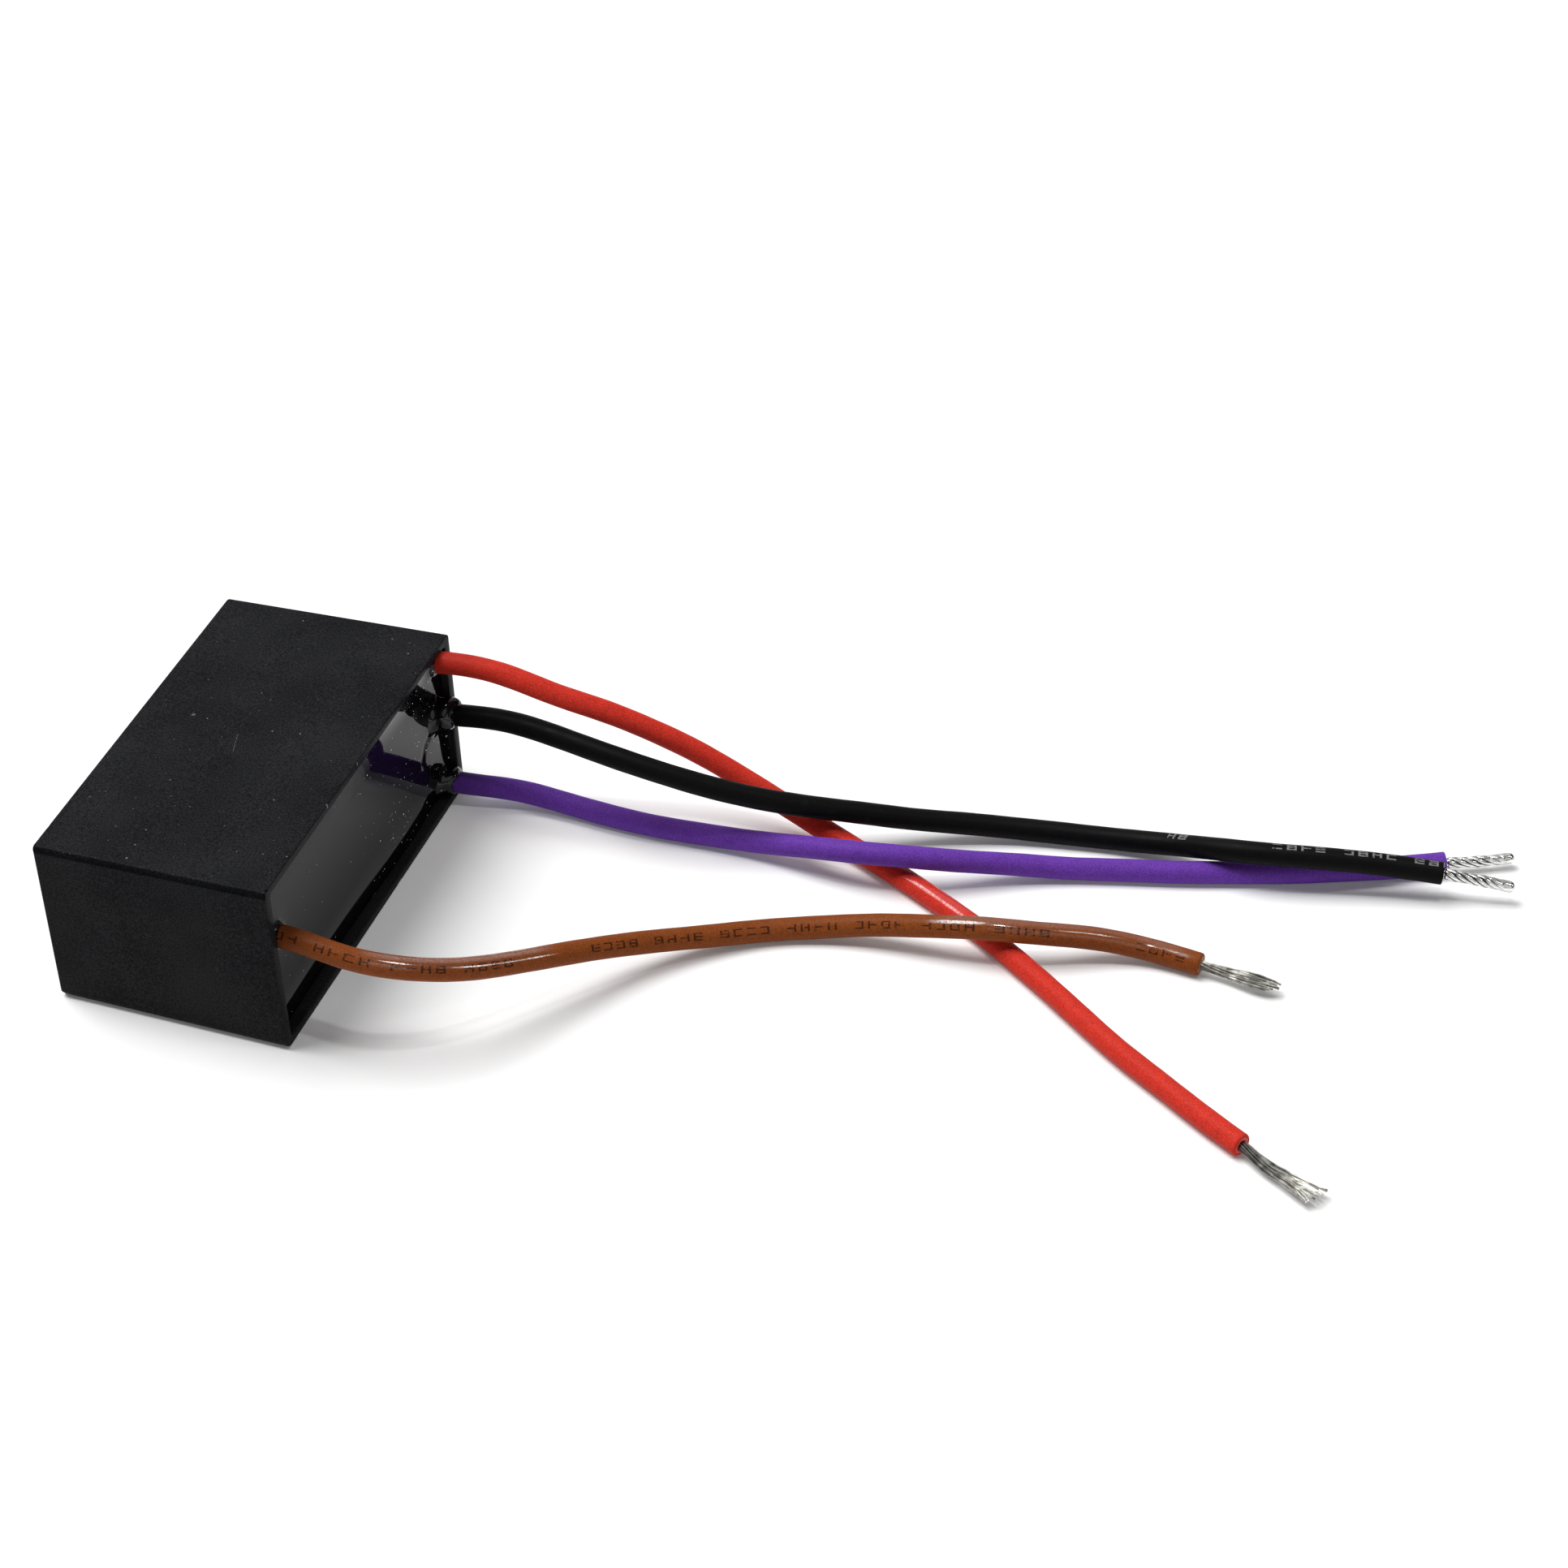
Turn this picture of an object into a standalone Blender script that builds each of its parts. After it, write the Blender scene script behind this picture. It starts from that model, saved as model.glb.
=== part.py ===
"""Potted four-lead electrical module: a moulded tub, three film windings and flying leads.

Frame: metres, +Z up. The origin is the centre of the case's resting face. The case's open,
resin-filled face looks along +X, the way the leads leave, and its long side runs along Y.
"""

import math

import bmesh
import bpy
import numpy as np
from mathutils import Vector

MM = 0.001
GAP = 0.3 * MM  # clearance kept between touching pieces

# Case: a tub moulded with draft, lying on a wide face
CASE_DEPTH = 30 * MM  # along X, closed end to rim
CASE_LENGTH = 52 * MM  # along Y at the rim
CASE_HEIGHT = 24 * MM  # along Z at the rim
DRAFT = 0.35 * MM  # how much each end wall leans in at the closed end
SIDE_WALL = 1.1 * MM
END_WALL = 1.4 * MM
FLOOR_WALL = 1.5 * MM
LONG_EDGE_RADIUS = 0.6 * MM
FLOOR_EDGE_RADIUS = 0.4 * MM
RECESS = 1.1 * MM  # how far the resin lies below the rim

# Leads: 18 AWG stranded hook-up wire with a PVC jacket
LEAD_RADIUS = 1.4 * MM
CORE_RADIUS = 0.58 * MM
LEAD_Y = 22.9 * MM  # exits sit this far out towards the two short ends
LEAD_INNER_END_X = 9 * MM  # the jackets stop here inside the resin
TUBE_STEP = 4 * LEAD_RADIUS  # spacing of the points along a lead's tube

# Film windings: three flat rolls stacked along Z, their axes along Y
WINDING_HALF_LENGTH = 20.3 * MM
WINDING_HALF_WIDTH = 11.2 * MM
WINDING_HALF_THICKNESS = 2.4 * MM
WINDING_X = -1.25 * MM
WINDING_PITCH = 6.6 * MM
WINDING_LOWEST_Z = 5.0 * MM
WRAP_GAP = 0.25 * MM
WRAP_THICKNESS = 0.25 * MM
POCKET_GAP = 0.25 * MM
SPRAY_THICKNESS = 0.5 * MM
SLIT_LENGTH = 15 * MM
SLIT_HEIGHT = 0.5 * MM
ROUND_SEGMENTS = 10  # facets on each rounded end of a winding

# Solder joints: flattened domes on the sprayed ends, and one bead where the bus meets brown
SPRAY_FACE = WINDING_HALF_LENGTH + GAP + SPRAY_THICKNESS
JOINT_FACE = SPRAY_FACE + GAP
TAIL_Y = JOINT_FACE + 0.75 * MM  # height of the soldered conductors over the windings' ends
TAIL_STEP = 0.9 * MM
JOINT_X = 0.6 * MM
JOINT_RADII = Vector((2.7, 2.0, 1.9)) * MM
COMMON_JOINT_RADII = Vector((2.1, 1.9, 1.7)) * MM
BROWN_JOINT_X = 0.9 * MM
BROWN_JOINT_RADII = Vector((2.2, 1.25, 1.2)) * MM
BROWN_JOINT_GAP = 0.2 * MM
BUS_RADIUS = 0.45 * MM
BUS_OVERHANG = 2.2 * MM  # how far the bus runs past the outer windings' middles

SECTIONS = ("bottom", "middle", "top")
SECTION_OF_LEAD = {"purple": "bottom", "black": "middle", "red": "top"}

JACKET_COLOURS = {
    "red": (0.66, 0.035, 0.025, 1),
    "black": (0.012, 0.012, 0.013, 1),
    "purple": (0.11, 0.032, 0.32, 1),
    "brown": (0.24, 0.062, 0.02, 1),
}

# Each lead's route in millimetres, from inside the resin to the end of its jacket. The leads
# leave along +X, come down to the surface and lie on it. Black, purple and brown pass over
# red in low humps, and black rests on purple at its end.
ROUTES = {
    "red": [
        (9.0, 22.9, 21.2), (13.0, 22.95, 21.2), (17.0, 23.2, 21.3), (23.1, 23.7, 20.7),
        (29.3, 24.5, 18.9), (35.2, 26.0, 16.5), (40.7, 27.6, 13.6), (46.2, 28.9, 10.4),
        (51.8, 29.5, 7.1), (57.7, 29.2, 4.3), (63.8, 28.0, 2.3), (69.8, 25.8, 1.55),
        (75.7, 23.0, 1.45), (81.4, 19.9, 1.45), (87.0, 16.6, 1.45), (92.4, 13.0, 1.45),
        (97.7, 9.2, 1.45), (102.9, 5.3, 1.45), (108.2, 1.5, 1.45), (113.7, -2.0, 1.45),
        (119.2, -5.5, 1.45), (124.8, -8.8, 1.45),
    ],
    "black": [
        (9.0, 22.9, 13.3), (13.0, 22.95, 13.35), (16.6, 23.1, 13.7), (22.8, 23.3, 14.1),
        (29.4, 22.6, 14.0), (35.9, 22.2, 13.1), (42.4, 22.5, 11.7), (48.7, 23.6, 9.9),
        (54.8, 25.2, 8.2), (60.9, 27.4, 6.6), (66.8, 29.9, 5.1), (72.7, 32.4, 3.6),
        (78.8, 34.8, 2.5), (85.1, 36.7, 1.75), (91.6, 37.9, 1.5), (98.2, 38.7, 1.6),
        (104.7, 38.5, 2.6), (110.9, 37.0, 4.6), (117.4, 37.4, 5.1), (123.8, 38.9, 4.8),
        (130.3, 40.4, 4.3), (136.8, 41.5, 3.8),
    ],
    "purple": [
        (9.0, 22.9, 2.9), (13.0, 22.95, 2.9), (16.7, 23.2, 2.8), (22.9, 24.5, 2.2),
        (29.4, 24.7, 1.6), (36.0, 24.2, 1.45), (42.5, 24.0, 1.45), (49.1, 24.2, 1.6),
        (55.6, 24.1, 2.2), (62.0, 23.5, 3.5), (68.4, 23.0, 4.7), (74.9, 24.1, 4.7),
        (80.9, 26.5, 3.6), (86.7, 29.2, 2.4), (92.9, 31.4, 1.6), (99.2, 33.2, 1.45),
        (105.5, 34.8, 1.45), (111.8, 36.7, 1.45), (118.1, 38.7, 1.45), (124.2, 41.0, 1.45),
        (130.3, 43.5, 1.45), (136.2, 46.3, 1.45),
    ],
    "brown": [
        (9.0, -22.9, 15.3), (13.0, -22.95, 15.3), (16.9, -23.15, 15.2), (23.2, -23.3, 14.4),
        (29.2, -21.1, 12.6), (34.2, -17.2, 10.5), (38.3, -12.4, 8.5), (42.3, -7.4, 6.7),
        (46.4, -2.5, 4.9), (51.0, 2.0, 3.3), (56.1, 6.0, 2.1), (61.8, 9.5, 1.55),
        (68.0, 11.8, 1.8), (74.4, 13.0, 2.8), (80.9, 13.4, 4.0), (87.5, 14.1, 4.8),
        (93.9, 15.8, 4.3), (99.9, 18.2, 3.1), (106.2, 19.7, 1.8), (112.8, 19.3, 1.45),
    ],
}

# Stripped ends beyond each jacket, in millimetres: x, y, z and the bundle's radius there.
# Black and purple are dipped in solder; red and brown are loose strands that fan out.
BARE_ENDS = {
    "red": [(128.0, -10.9, 1.4, 0.65), (131.6, -12.6, 1.35, 1.1), (134.9, -14.3, 1.4, 1.3)],
    "black": [(139.6, 42.0, 3.4, 0.65), (142.6, 42.6, 2.9, 0.68), (145.3, 43.2, 2.3, 0.6)],
    "purple": [(138.9, 47.4, 1.4, 0.62), (141.5, 48.6, 1.4, 0.62), (144.0, 49.9, 1.4, 0.55)],
    "brown": [(115.8, 18.9, 1.4, 0.75), (119.4, 18.5, 1.35, 1.15), (122.7, 18.1, 1.3, 1.0)],
}

# The bared conductors inside the resin, in millimetres along X: jacket's end, start of the
# bend towards the solder joint, end of the bend, tip.
FAR_TAIL_STOPS = (8.7, 7.4, 3.4, -1.0)
BROWN_TAIL_STOPS = (8.7, 6.2, 3.6, 1.1)
BROWN_TAIL_DROP = 0.4 * MM


def clear_scene():
    for item in list(bpy.data.objects):
        bpy.data.objects.remove(item, do_unlink=True)


def make_material(name, colour, roughness, metallic=0.0):
    material = bpy.data.materials.new(name)
    material.use_nodes = True
    shader = material.node_tree.nodes["Principled BSDF"]
    shader.inputs["Base Color"].default_value = colour
    shader.inputs["Roughness"].default_value = roughness
    shader.inputs["Metallic"].default_value = metallic
    return material


def add_mesh(name, bm, material=None):
    """Turn a bmesh into a named object with its faces pointing out."""
    bmesh.ops.recalc_face_normals(bm, faces=bm.faces)
    mesh = bpy.data.meshes.new(name)
    bm.to_mesh(mesh)
    bm.free()
    mesh.shade_smooth()
    mesh.set_sharp_from_angle(angle=math.radians(35))
    item = bpy.data.objects.new(name, mesh)
    bpy.context.scene.collection.objects.link(item)
    if material is None:
        item.display_type = "WIRE"
        item.hide_render = True
    else:
        mesh.materials.append(material)
    return item


def cut(target, cutter):
    modifier = target.modifiers.new("cut_" + cutter.name, "BOOLEAN")
    modifier.operation = "DIFFERENCE"
    modifier.solver = "EXACT"
    modifier.object = cutter


def wall_reach(x, at_rim, narrowing):
    """A wall's distance at x, for a wall that leans in by narrowing over the case's depth."""
    return at_rim - narrowing * (CASE_DEPTH / 2 - x) / CASE_DEPTH


def tub_block(x_closed, x_open, wall_y, wall_z):
    """A drafted block as a bmesh, inset from the case's outside by wall_y and wall_z."""
    bm = bmesh.new()
    rings = []
    for x in (x_closed, x_open):
        half = wall_reach(x, CASE_LENGTH / 2, DRAFT) - wall_y
        top = wall_reach(x, CASE_HEIGHT, 2 * DRAFT) - wall_z
        corners = ((-half, wall_z), (half, wall_z), (half, top), (-half, top))
        rings.append([bm.verts.new((x, y, z)) for y, z in corners])
    bm.faces.new(reversed(rings[0]))
    bm.faces.new(rings[1])
    for i in range(4):
        j = (i + 1) % 4
        bm.faces.new((rings[0][i], rings[0][j], rings[1][j], rings[1][i]))
    return bm


def box(low, high):
    bm = bmesh.new()
    size = Vector(high) - Vector(low)
    bmesh.ops.create_cube(bm, size=1)
    bmesh.ops.scale(bm, vec=size, verts=bm.verts)
    bmesh.ops.translate(bm, vec=(Vector(low) + Vector(high)) / 2, verts=bm.verts)
    return bm


def stadium(half_width, half_thickness, centre_z):
    """The outline of a flattened roll in the XZ plane: two half circles and two flats."""
    straight = half_width - half_thickness
    outline = []
    for side in (1, -1):
        for i in range(ROUND_SEGMENTS + 1):
            angle = side * math.pi / 2 - math.pi * i / ROUND_SEGMENTS
            x = WINDING_X + side * straight + half_thickness * math.cos(angle)
            outline.append((x, centre_z + half_thickness * math.sin(angle)))
    return outline


def prism_along_y(outline, y_low, y_high):
    bm = bmesh.new()
    base = [bm.verts.new((x, y_low, z)) for x, z in outline]
    face = bm.faces.new(base)
    grown = bmesh.ops.extrude_face_region(bm, geom=[face])
    moved = [v for v in grown["geom"] if isinstance(v, bmesh.types.BMVert)]
    bmesh.ops.translate(bm, vec=(0, y_high - y_low, 0), verts=moved)
    return bm


def sleeve_along_y(outer, inner, y_low, y_high):
    """A thin-walled sleeve between two outlines with the same number of points."""
    bm = bmesh.new()
    count = len(outer)
    loops = []
    for outline, y in ((outer, y_low), (outer, y_high), (inner, y_high), (inner, y_low)):
        loops.append([bm.verts.new((x, y, z)) for x, z in outline])
    for k in range(4):
        first, second = loops[k], loops[(k + 1) % 4]
        for i in range(count):
            j = (i + 1) % count
            bm.faces.new((first[i], first[j], second[j], second[i]))
    return bm


def smooth_route(points, step):
    """Points every step metres along a natural cubic spline through the given points."""
    knots = np.array(points, dtype=float)
    spans = np.linalg.norm(np.diff(knots, axis=0), axis=1)
    at = np.concatenate(([0.0], np.cumsum(spans)))
    count = len(knots)
    system = np.eye(count)
    right = np.zeros((count, 3))
    slopes = np.diff(knots, axis=0) / spans[:, None]
    for i in range(1, count - 1):
        system[i, i - 1:i + 2] = (spans[i - 1], 2 * (spans[i - 1] + spans[i]), spans[i])
        right[i] = 6 * (slopes[i] - slopes[i - 1])
    bends = np.linalg.solve(system, right)
    samples = np.linspace(0, at[-1], max(2, round(at[-1] / step) + 1))
    route = []
    for s in samples:
        i = min(int(np.searchsorted(at, s, side="right")) - 1, count - 2)
        h = spans[i]
        a = (at[i + 1] - s) / h
        b = (s - at[i]) / h
        bent = ((a ** 3 - a) * bends[i] + (b ** 3 - b) * bends[i + 1]) * h * h / 6
        route.append(Vector(a * knots[i] + b * knots[i + 1] + bent))
    return route


def tube(name, points, material, radius, radii=None):
    """A closed tube along the points, as a curve; radii scales the tube at each point."""
    curve = bpy.data.curves.new(name, "CURVE")
    curve.dimensions = "3D"
    curve.resolution_u = 1
    curve.render_resolution_u = 0
    curve.bevel_depth = radius
    curve.bevel_resolution = 2
    curve.use_fill_caps = True
    spline = curve.splines.new("POLY")
    spline.points.add(len(points) - 1)
    for i, point in enumerate(points):
        spline.points[i].co = (*point, 1)
        spline.points[i].radius = radii[i] if radii else 1
    curve.materials.append(material)
    item = bpy.data.objects.new(name, curve)
    bpy.context.scene.collection.objects.link(item)
    return item


def rod(name, points, radius, material=None, sides=12):
    """A closed round bar along the points, as a mesh."""
    bm = bmesh.new()
    across = Vector((0.3, 0.2, 1)).normalized()
    rings = []
    for i, point in enumerate(points):
        ahead = (points[min(i + 1, len(points) - 1)] - points[max(i - 1, 0)]).normalized()
        across = (across - ahead * across.dot(ahead)).normalized()
        up = ahead.cross(across)
        ring = []
        for k in range(sides):
            angle = 2 * math.pi * k / sides
            offset = radius * (math.cos(angle) * across + math.sin(angle) * up)
            ring.append(bm.verts.new(point + offset))
        rings.append(ring)
    for first, second in zip(rings, rings[1:]):
        for k in range(sides):
            j = (k + 1) % sides
            bm.faces.new((first[k], first[j], second[j], second[k]))
    bm.faces.new(reversed(rings[0]))
    bm.faces.new(rings[-1])
    return add_mesh(name, bm, material)


def section_z(section):
    return WINDING_LOWEST_Z + WINDING_PITCH * SECTIONS.index(section)


def exit_z(colour):
    return ROUTES[colour][0][2] * MM


def lead_side(colour):
    """Brown leaves at the -Y end, the others at the +Y end."""
    return -1 if colour == "brown" else 1


def make_case(material):
    bm = tub_block(-CASE_DEPTH / 2, CASE_DEPTH / 2, 0, 0)
    long_edges = [e for e in bm.edges if e.verts[0].co.x * e.verts[1].co.x < 0]
    bmesh.ops.bevel(bm, geom=long_edges, offset=LONG_EDGE_RADIUS, segments=4, profile=0.5,
                    affect="EDGES")
    closed = [e for e in bm.edges if all(v.co.x < 0 for v in e.verts)]
    rim_of_floor = [e for e in closed if e.calc_face_angle() > math.radians(60)]
    bmesh.ops.bevel(bm, geom=rim_of_floor, offset=FLOOR_EDGE_RADIUS, segments=3, profile=0.5,
                    affect="EDGES")
    tub = add_mesh("case_tub", bm, material)
    hollow = tub_block(FLOOR_WALL - CASE_DEPTH / 2, CASE_DEPTH, END_WALL, SIDE_WALL)
    cut(tub, add_mesh("case_hollow", hollow))


def make_winding(section, film, wrap_film, zinc):
    z = section_z(section)
    roll = stadium(WINDING_HALF_WIDTH, WINDING_HALF_THICKNESS, z)
    body = prism_along_y(roll, -WINDING_HALF_LENGTH, WINDING_HALF_LENGTH)
    winding = add_mesh("film_winding_" + section, body, film)
    slit_low = (WINDING_X - SLIT_LENGTH / 2, -CASE_LENGTH / 2, z - SLIT_HEIGHT / 2)
    slit_high = (WINDING_X + SLIT_LENGTH / 2, CASE_LENGTH / 2, z + SLIT_HEIGHT / 2)
    cut(winding, add_mesh("slit_" + section, box(slit_low, slit_high)))

    inner = stadium(WINDING_HALF_WIDTH + WRAP_GAP, WINDING_HALF_THICKNESS + WRAP_GAP, z)
    thick = WRAP_GAP + WRAP_THICKNESS
    outer = stadium(WINDING_HALF_WIDTH + thick, WINDING_HALF_THICKNESS + thick, z)
    sleeve = sleeve_along_y(outer, inner, -WINDING_HALF_LENGTH, WINDING_HALF_LENGTH)
    add_mesh("outer_film_wrap_" + section, sleeve, wrap_film)

    for place, side in (("far", 1), ("near", -1)):
        ends = sorted((side * (WINDING_HALF_LENGTH + GAP), side * SPRAY_FACE))
        layer = prism_along_y(roll, *ends)
        add_mesh("end_spray_" + section + "_" + place, layer, zinc)


def pocket_for_section(section):
    """The space one wrapped winding takes in the resin, open towards the case's floor."""
    z = section_z(section)
    grow = WRAP_GAP + WRAP_THICKNESS + POCKET_GAP
    outline = stadium(WINDING_HALF_WIDTH + grow, WINDING_HALF_THICKNESS + grow, z)
    reach = SPRAY_FACE + GAP
    pocket = add_mesh("pocket_" + section, prism_along_y(outline, -reach, reach))
    slot_half = WINDING_HALF_THICKNESS / 2
    low = (-CASE_DEPTH / 2, -reach + GAP, z - slot_half)
    high = (WINDING_X - WINDING_HALF_WIDTH / 2, reach - GAP, z + slot_half)
    slot = add_mesh("pocket_mouth_" + section, box(low, high))
    return [pocket, slot]


def dome(name, centre, radii, material=None, flat_at=None, side=1):
    """An ellipsoid; flat_at leaves only its part beyond that Y, on the given side."""
    bm = bmesh.new()
    bmesh.ops.create_uvsphere(bm, u_segments=20, v_segments=12, radius=1)
    bmesh.ops.scale(bm, vec=radii, verts=bm.verts)
    bmesh.ops.translate(bm, vec=centre, verts=bm.verts)
    if flat_at is not None:
        geometry = bm.verts[:] + bm.edges[:] + bm.faces[:]
        plane = {"plane_co": (0, flat_at, 0), "plane_no": (0, side, 0)}
        bmesh.ops.bisect_plane(bm, geom=geometry, clear_inner=True, **plane)
        bmesh.ops.holes_fill(bm, edges=[e for e in bm.edges if e.is_boundary])
    return add_mesh(name, bm, material)


def tail_path(colour):
    """The bared conductor inside the resin, from the jacket's end to its solder joint."""
    side = lead_side(colour)
    start_z = exit_z(colour)
    if colour == "brown":
        stops = BROWN_TAIL_STOPS
        joint_z = start_z - BROWN_TAIL_DROP
    else:
        stops = FAR_TAIL_STOPS
        joint_z = section_z(SECTION_OF_LEAD[colour])
    in_jacket, bend, flat, tip = [x * MM for x in stops]
    path = [(in_jacket, side * LEAD_Y, start_z), (bend, side * LEAD_Y, start_z),
            (flat, side * TAIL_Y, joint_z), (tip, side * TAIL_Y, joint_z)]
    return smooth_route(path, TAIL_STEP)


def grown(radii, clearance):
    return radii + Vector((clearance, clearance, clearance))


def make_far_joint(colour, solder, wire):
    """A lead's conductor tail and the solder that holds it on its winding's far end."""
    path = tail_path(colour)
    rod(colour + "_conductor_tail", path, CORE_RADIUS, wire)
    centre = (JOINT_X, JOINT_FACE, section_z(SECTION_OF_LEAD[colour]))
    blob = dome("solder_joint_" + colour, centre, JOINT_RADII, solder, JOINT_FACE)
    channel = rod("tail_channel_" + colour, longer_path(path), CORE_RADIUS + GAP)
    cut(blob, channel)
    pocket = dome("joint_pocket_" + colour, centre, grown(JOINT_RADII, GAP))
    return [channel, pocket]


def longer_path(path):
    """The path with its far end moved on by the clearance, for cutting a channel."""
    ahead = (path[-1] - path[-2]).normalized() * GAP
    return path[:-1] + [path[-1] + ahead]


def make_common_end(solder, wire):
    """The bus that joins the three windings' near ends, with the brown lead's tail."""
    bus_y = -TAIL_Y
    ends = (section_z("bottom") - BUS_OVERHANG, section_z("top") + BUS_OVERHANG)
    rod("common_bus_wire", [Vector((0, bus_y, z)) for z in ends], BUS_RADIUS, wire)
    bus_ends = [Vector((0, bus_y, ends[0] - GAP)), Vector((0, bus_y, ends[1] + GAP))]
    bus_channel = rod("bus_channel", bus_ends, BUS_RADIUS + GAP)
    cutters = [bus_channel]
    for section in SECTIONS:
        centre = (0, -JOINT_FACE, section_z(section))
        name = "solder_joint_common_" + section
        cut(dome(name, centre, COMMON_JOINT_RADII, solder, -JOINT_FACE, -1), bus_channel)
        pocket_radii = grown(COMMON_JOINT_RADII, GAP)
        cutters.append(dome("common_pocket_" + section, centre, pocket_radii))

    path = tail_path("brown")
    rod("brown_conductor_tail", path, CORE_RADIUS, wire)
    tail_channel = rod("tail_channel_brown", longer_path(path), CORE_RADIUS + GAP)
    centre = (BROWN_JOINT_X, bus_y, path[-1].z)
    joint = dome("solder_joint_brown", centre, BROWN_JOINT_RADII, solder)
    cut(joint, bus_channel)
    cut(joint, tail_channel)
    pocket_radii = grown(BROWN_JOINT_RADII, BROWN_JOINT_GAP)
    pocket = dome("joint_pocket_brown", centre, pocket_radii)
    return cutters + [tail_channel, pocket]


def lead_bore(colour):
    """The space round a lead's jacket in the resin."""
    y = lead_side(colour) * LEAD_Y
    z = exit_z(colour)
    ends = [Vector((LEAD_INNER_END_X - 2 * GAP, y, z)), Vector((CASE_DEPTH / 2, y, z))]
    return rod("lead_bore_" + colour, ends, LEAD_RADIUS + GAP, sides=20)


def corner_relief():
    """Opens the thin corner between the red lead's bore and the two nearest walls."""
    low = (LEAD_INNER_END_X - 2 * GAP, LEAD_Y, exit_z("red"))
    high = (CASE_DEPTH / 2, CASE_LENGTH / 2, CASE_HEIGHT)
    return add_mesh("corner_relief", box(low, high))


def make_potting(material, cutters):
    low_x = FLOOR_WALL + GAP - CASE_DEPTH / 2
    high_x = CASE_DEPTH / 2 - RECESS
    block = tub_block(low_x, high_x, END_WALL + GAP, SIDE_WALL + GAP)
    potting = add_mesh("potting_compound", block, material)
    for cutter in cutters:
        cut(potting, cutter)


def make_lead(colour, jacket, wire):
    """The jacketed lead and, beyond its end, the stripped conductor."""
    route = smooth_route([Vector(p) * MM for p in ROUTES[colour]], TUBE_STEP)
    tube(colour + "_lead", route, jacket, LEAD_RADIUS)
    heading = (route[-1] - route[-2]).normalized()
    first = route[-1] + heading * GAP
    stops = [first] + [Vector(stop[:3]) * MM for stop in BARE_ENDS[colour]]
    widths = [CORE_RADIUS / MM] + [stop[3] for stop in BARE_ENDS[colour]]
    tube(colour + "_bare_end", stops, wire, MM, widths)


def build():
    clear_scene()
    case_plastic = make_material("case_plastic", (0.02, 0.021, 0.023, 1), 0.45)
    resin = make_material("potting_resin", (0.008, 0.008, 0.01, 1), 0.08)
    film = make_material("metallised_film", (0.62, 0.62, 0.6, 1), 0.3, 0.7)
    wrap_film = make_material("wrap_film", (0.75, 0.7, 0.5, 1), 0.3)
    zinc = make_material("zinc_spray", (0.45, 0.45, 0.44, 1), 0.7, 0.8)
    solder = make_material("solder", (0.7, 0.7, 0.69, 1), 0.25, 1.0)
    wire = make_material("tinned_copper", (0.75, 0.74, 0.71, 1), 0.3, 1.0)

    make_case(case_plastic)
    cutters = []
    for section in SECTIONS:
        make_winding(section, film, wrap_film, zinc)
        cutters += pocket_for_section(section)
    for colour in SECTION_OF_LEAD:
        cutters += make_far_joint(colour, solder, wire)
    cutters += make_common_end(solder, wire)
    cutters += [lead_bore(colour) for colour in ROUTES]
    cutters.append(corner_relief())
    make_potting(resin, cutters)
    for colour in ROUTES:
        jacket = make_material(colour + "_pvc", JACKET_COLOURS[colour], 0.35)
        make_lead(colour, jacket, wire)


build()
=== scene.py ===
"""Looks of the potted module: moulded tub, poured resin, four PVC leads and their stripped ends.

Everything is in metres in the CAD's frame: the case lies on its wide face at z = 0, its resin
face looks along +X, and its long side runs along Y.
"""

import math

import bmesh
import bpy
import numpy as np
from mathutils import Euler, Matrix, Vector


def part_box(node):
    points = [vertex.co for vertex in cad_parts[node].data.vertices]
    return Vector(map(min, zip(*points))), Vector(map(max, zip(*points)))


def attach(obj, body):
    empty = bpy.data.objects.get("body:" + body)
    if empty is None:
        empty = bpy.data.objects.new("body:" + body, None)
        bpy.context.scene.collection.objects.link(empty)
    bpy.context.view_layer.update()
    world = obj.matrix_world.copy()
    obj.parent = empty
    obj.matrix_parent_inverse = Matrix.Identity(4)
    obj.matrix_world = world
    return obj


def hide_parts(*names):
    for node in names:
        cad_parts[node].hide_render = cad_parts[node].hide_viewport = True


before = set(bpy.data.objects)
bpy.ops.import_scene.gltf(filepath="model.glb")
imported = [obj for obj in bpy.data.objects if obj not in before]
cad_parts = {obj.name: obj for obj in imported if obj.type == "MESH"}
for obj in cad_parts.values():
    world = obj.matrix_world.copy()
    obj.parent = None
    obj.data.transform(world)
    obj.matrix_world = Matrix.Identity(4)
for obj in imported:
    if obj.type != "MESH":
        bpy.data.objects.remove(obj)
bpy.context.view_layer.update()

MM = 0.001
BODY = "root"

# ---------------------------------------- sizes, from the frame

CASE_LOW, CASE_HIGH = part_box("case_tub")
POTTING_LOW, POTTING_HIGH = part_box("potting_compound")
RESIN_X = POTTING_HIGH.x
RIM_X = CASE_HIGH.x
CASE_DEPTH = CASE_HIGH.x - CASE_LOW.x

DRAFT = 0.35 * MM
SIDE_WALL = 1.1 * MM
END_WALL = 1.4 * MM
FLOOR_WALL = 1.5 * MM
CORNER_RADIUS = 0.65 * MM
WORN_CORNER = 2.0  # how many times rounder the lower long edge at -Y is
INNER_CORNER_RADIUS = 0.55 * MM
FLOOR_EDGE_RADIUS = 0.4 * MM
RIM_EDGE_RADIUS = 0.16 * MM
CORNER_STEPS = 10

LEAD_RADIUS = 1.4 * MM
RING_STEP = 0.5 * MM
STRAND_RADIUS = 0.127 * MM
LOOSE_STRAND_RADIUS = 0.145 * MM

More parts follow.
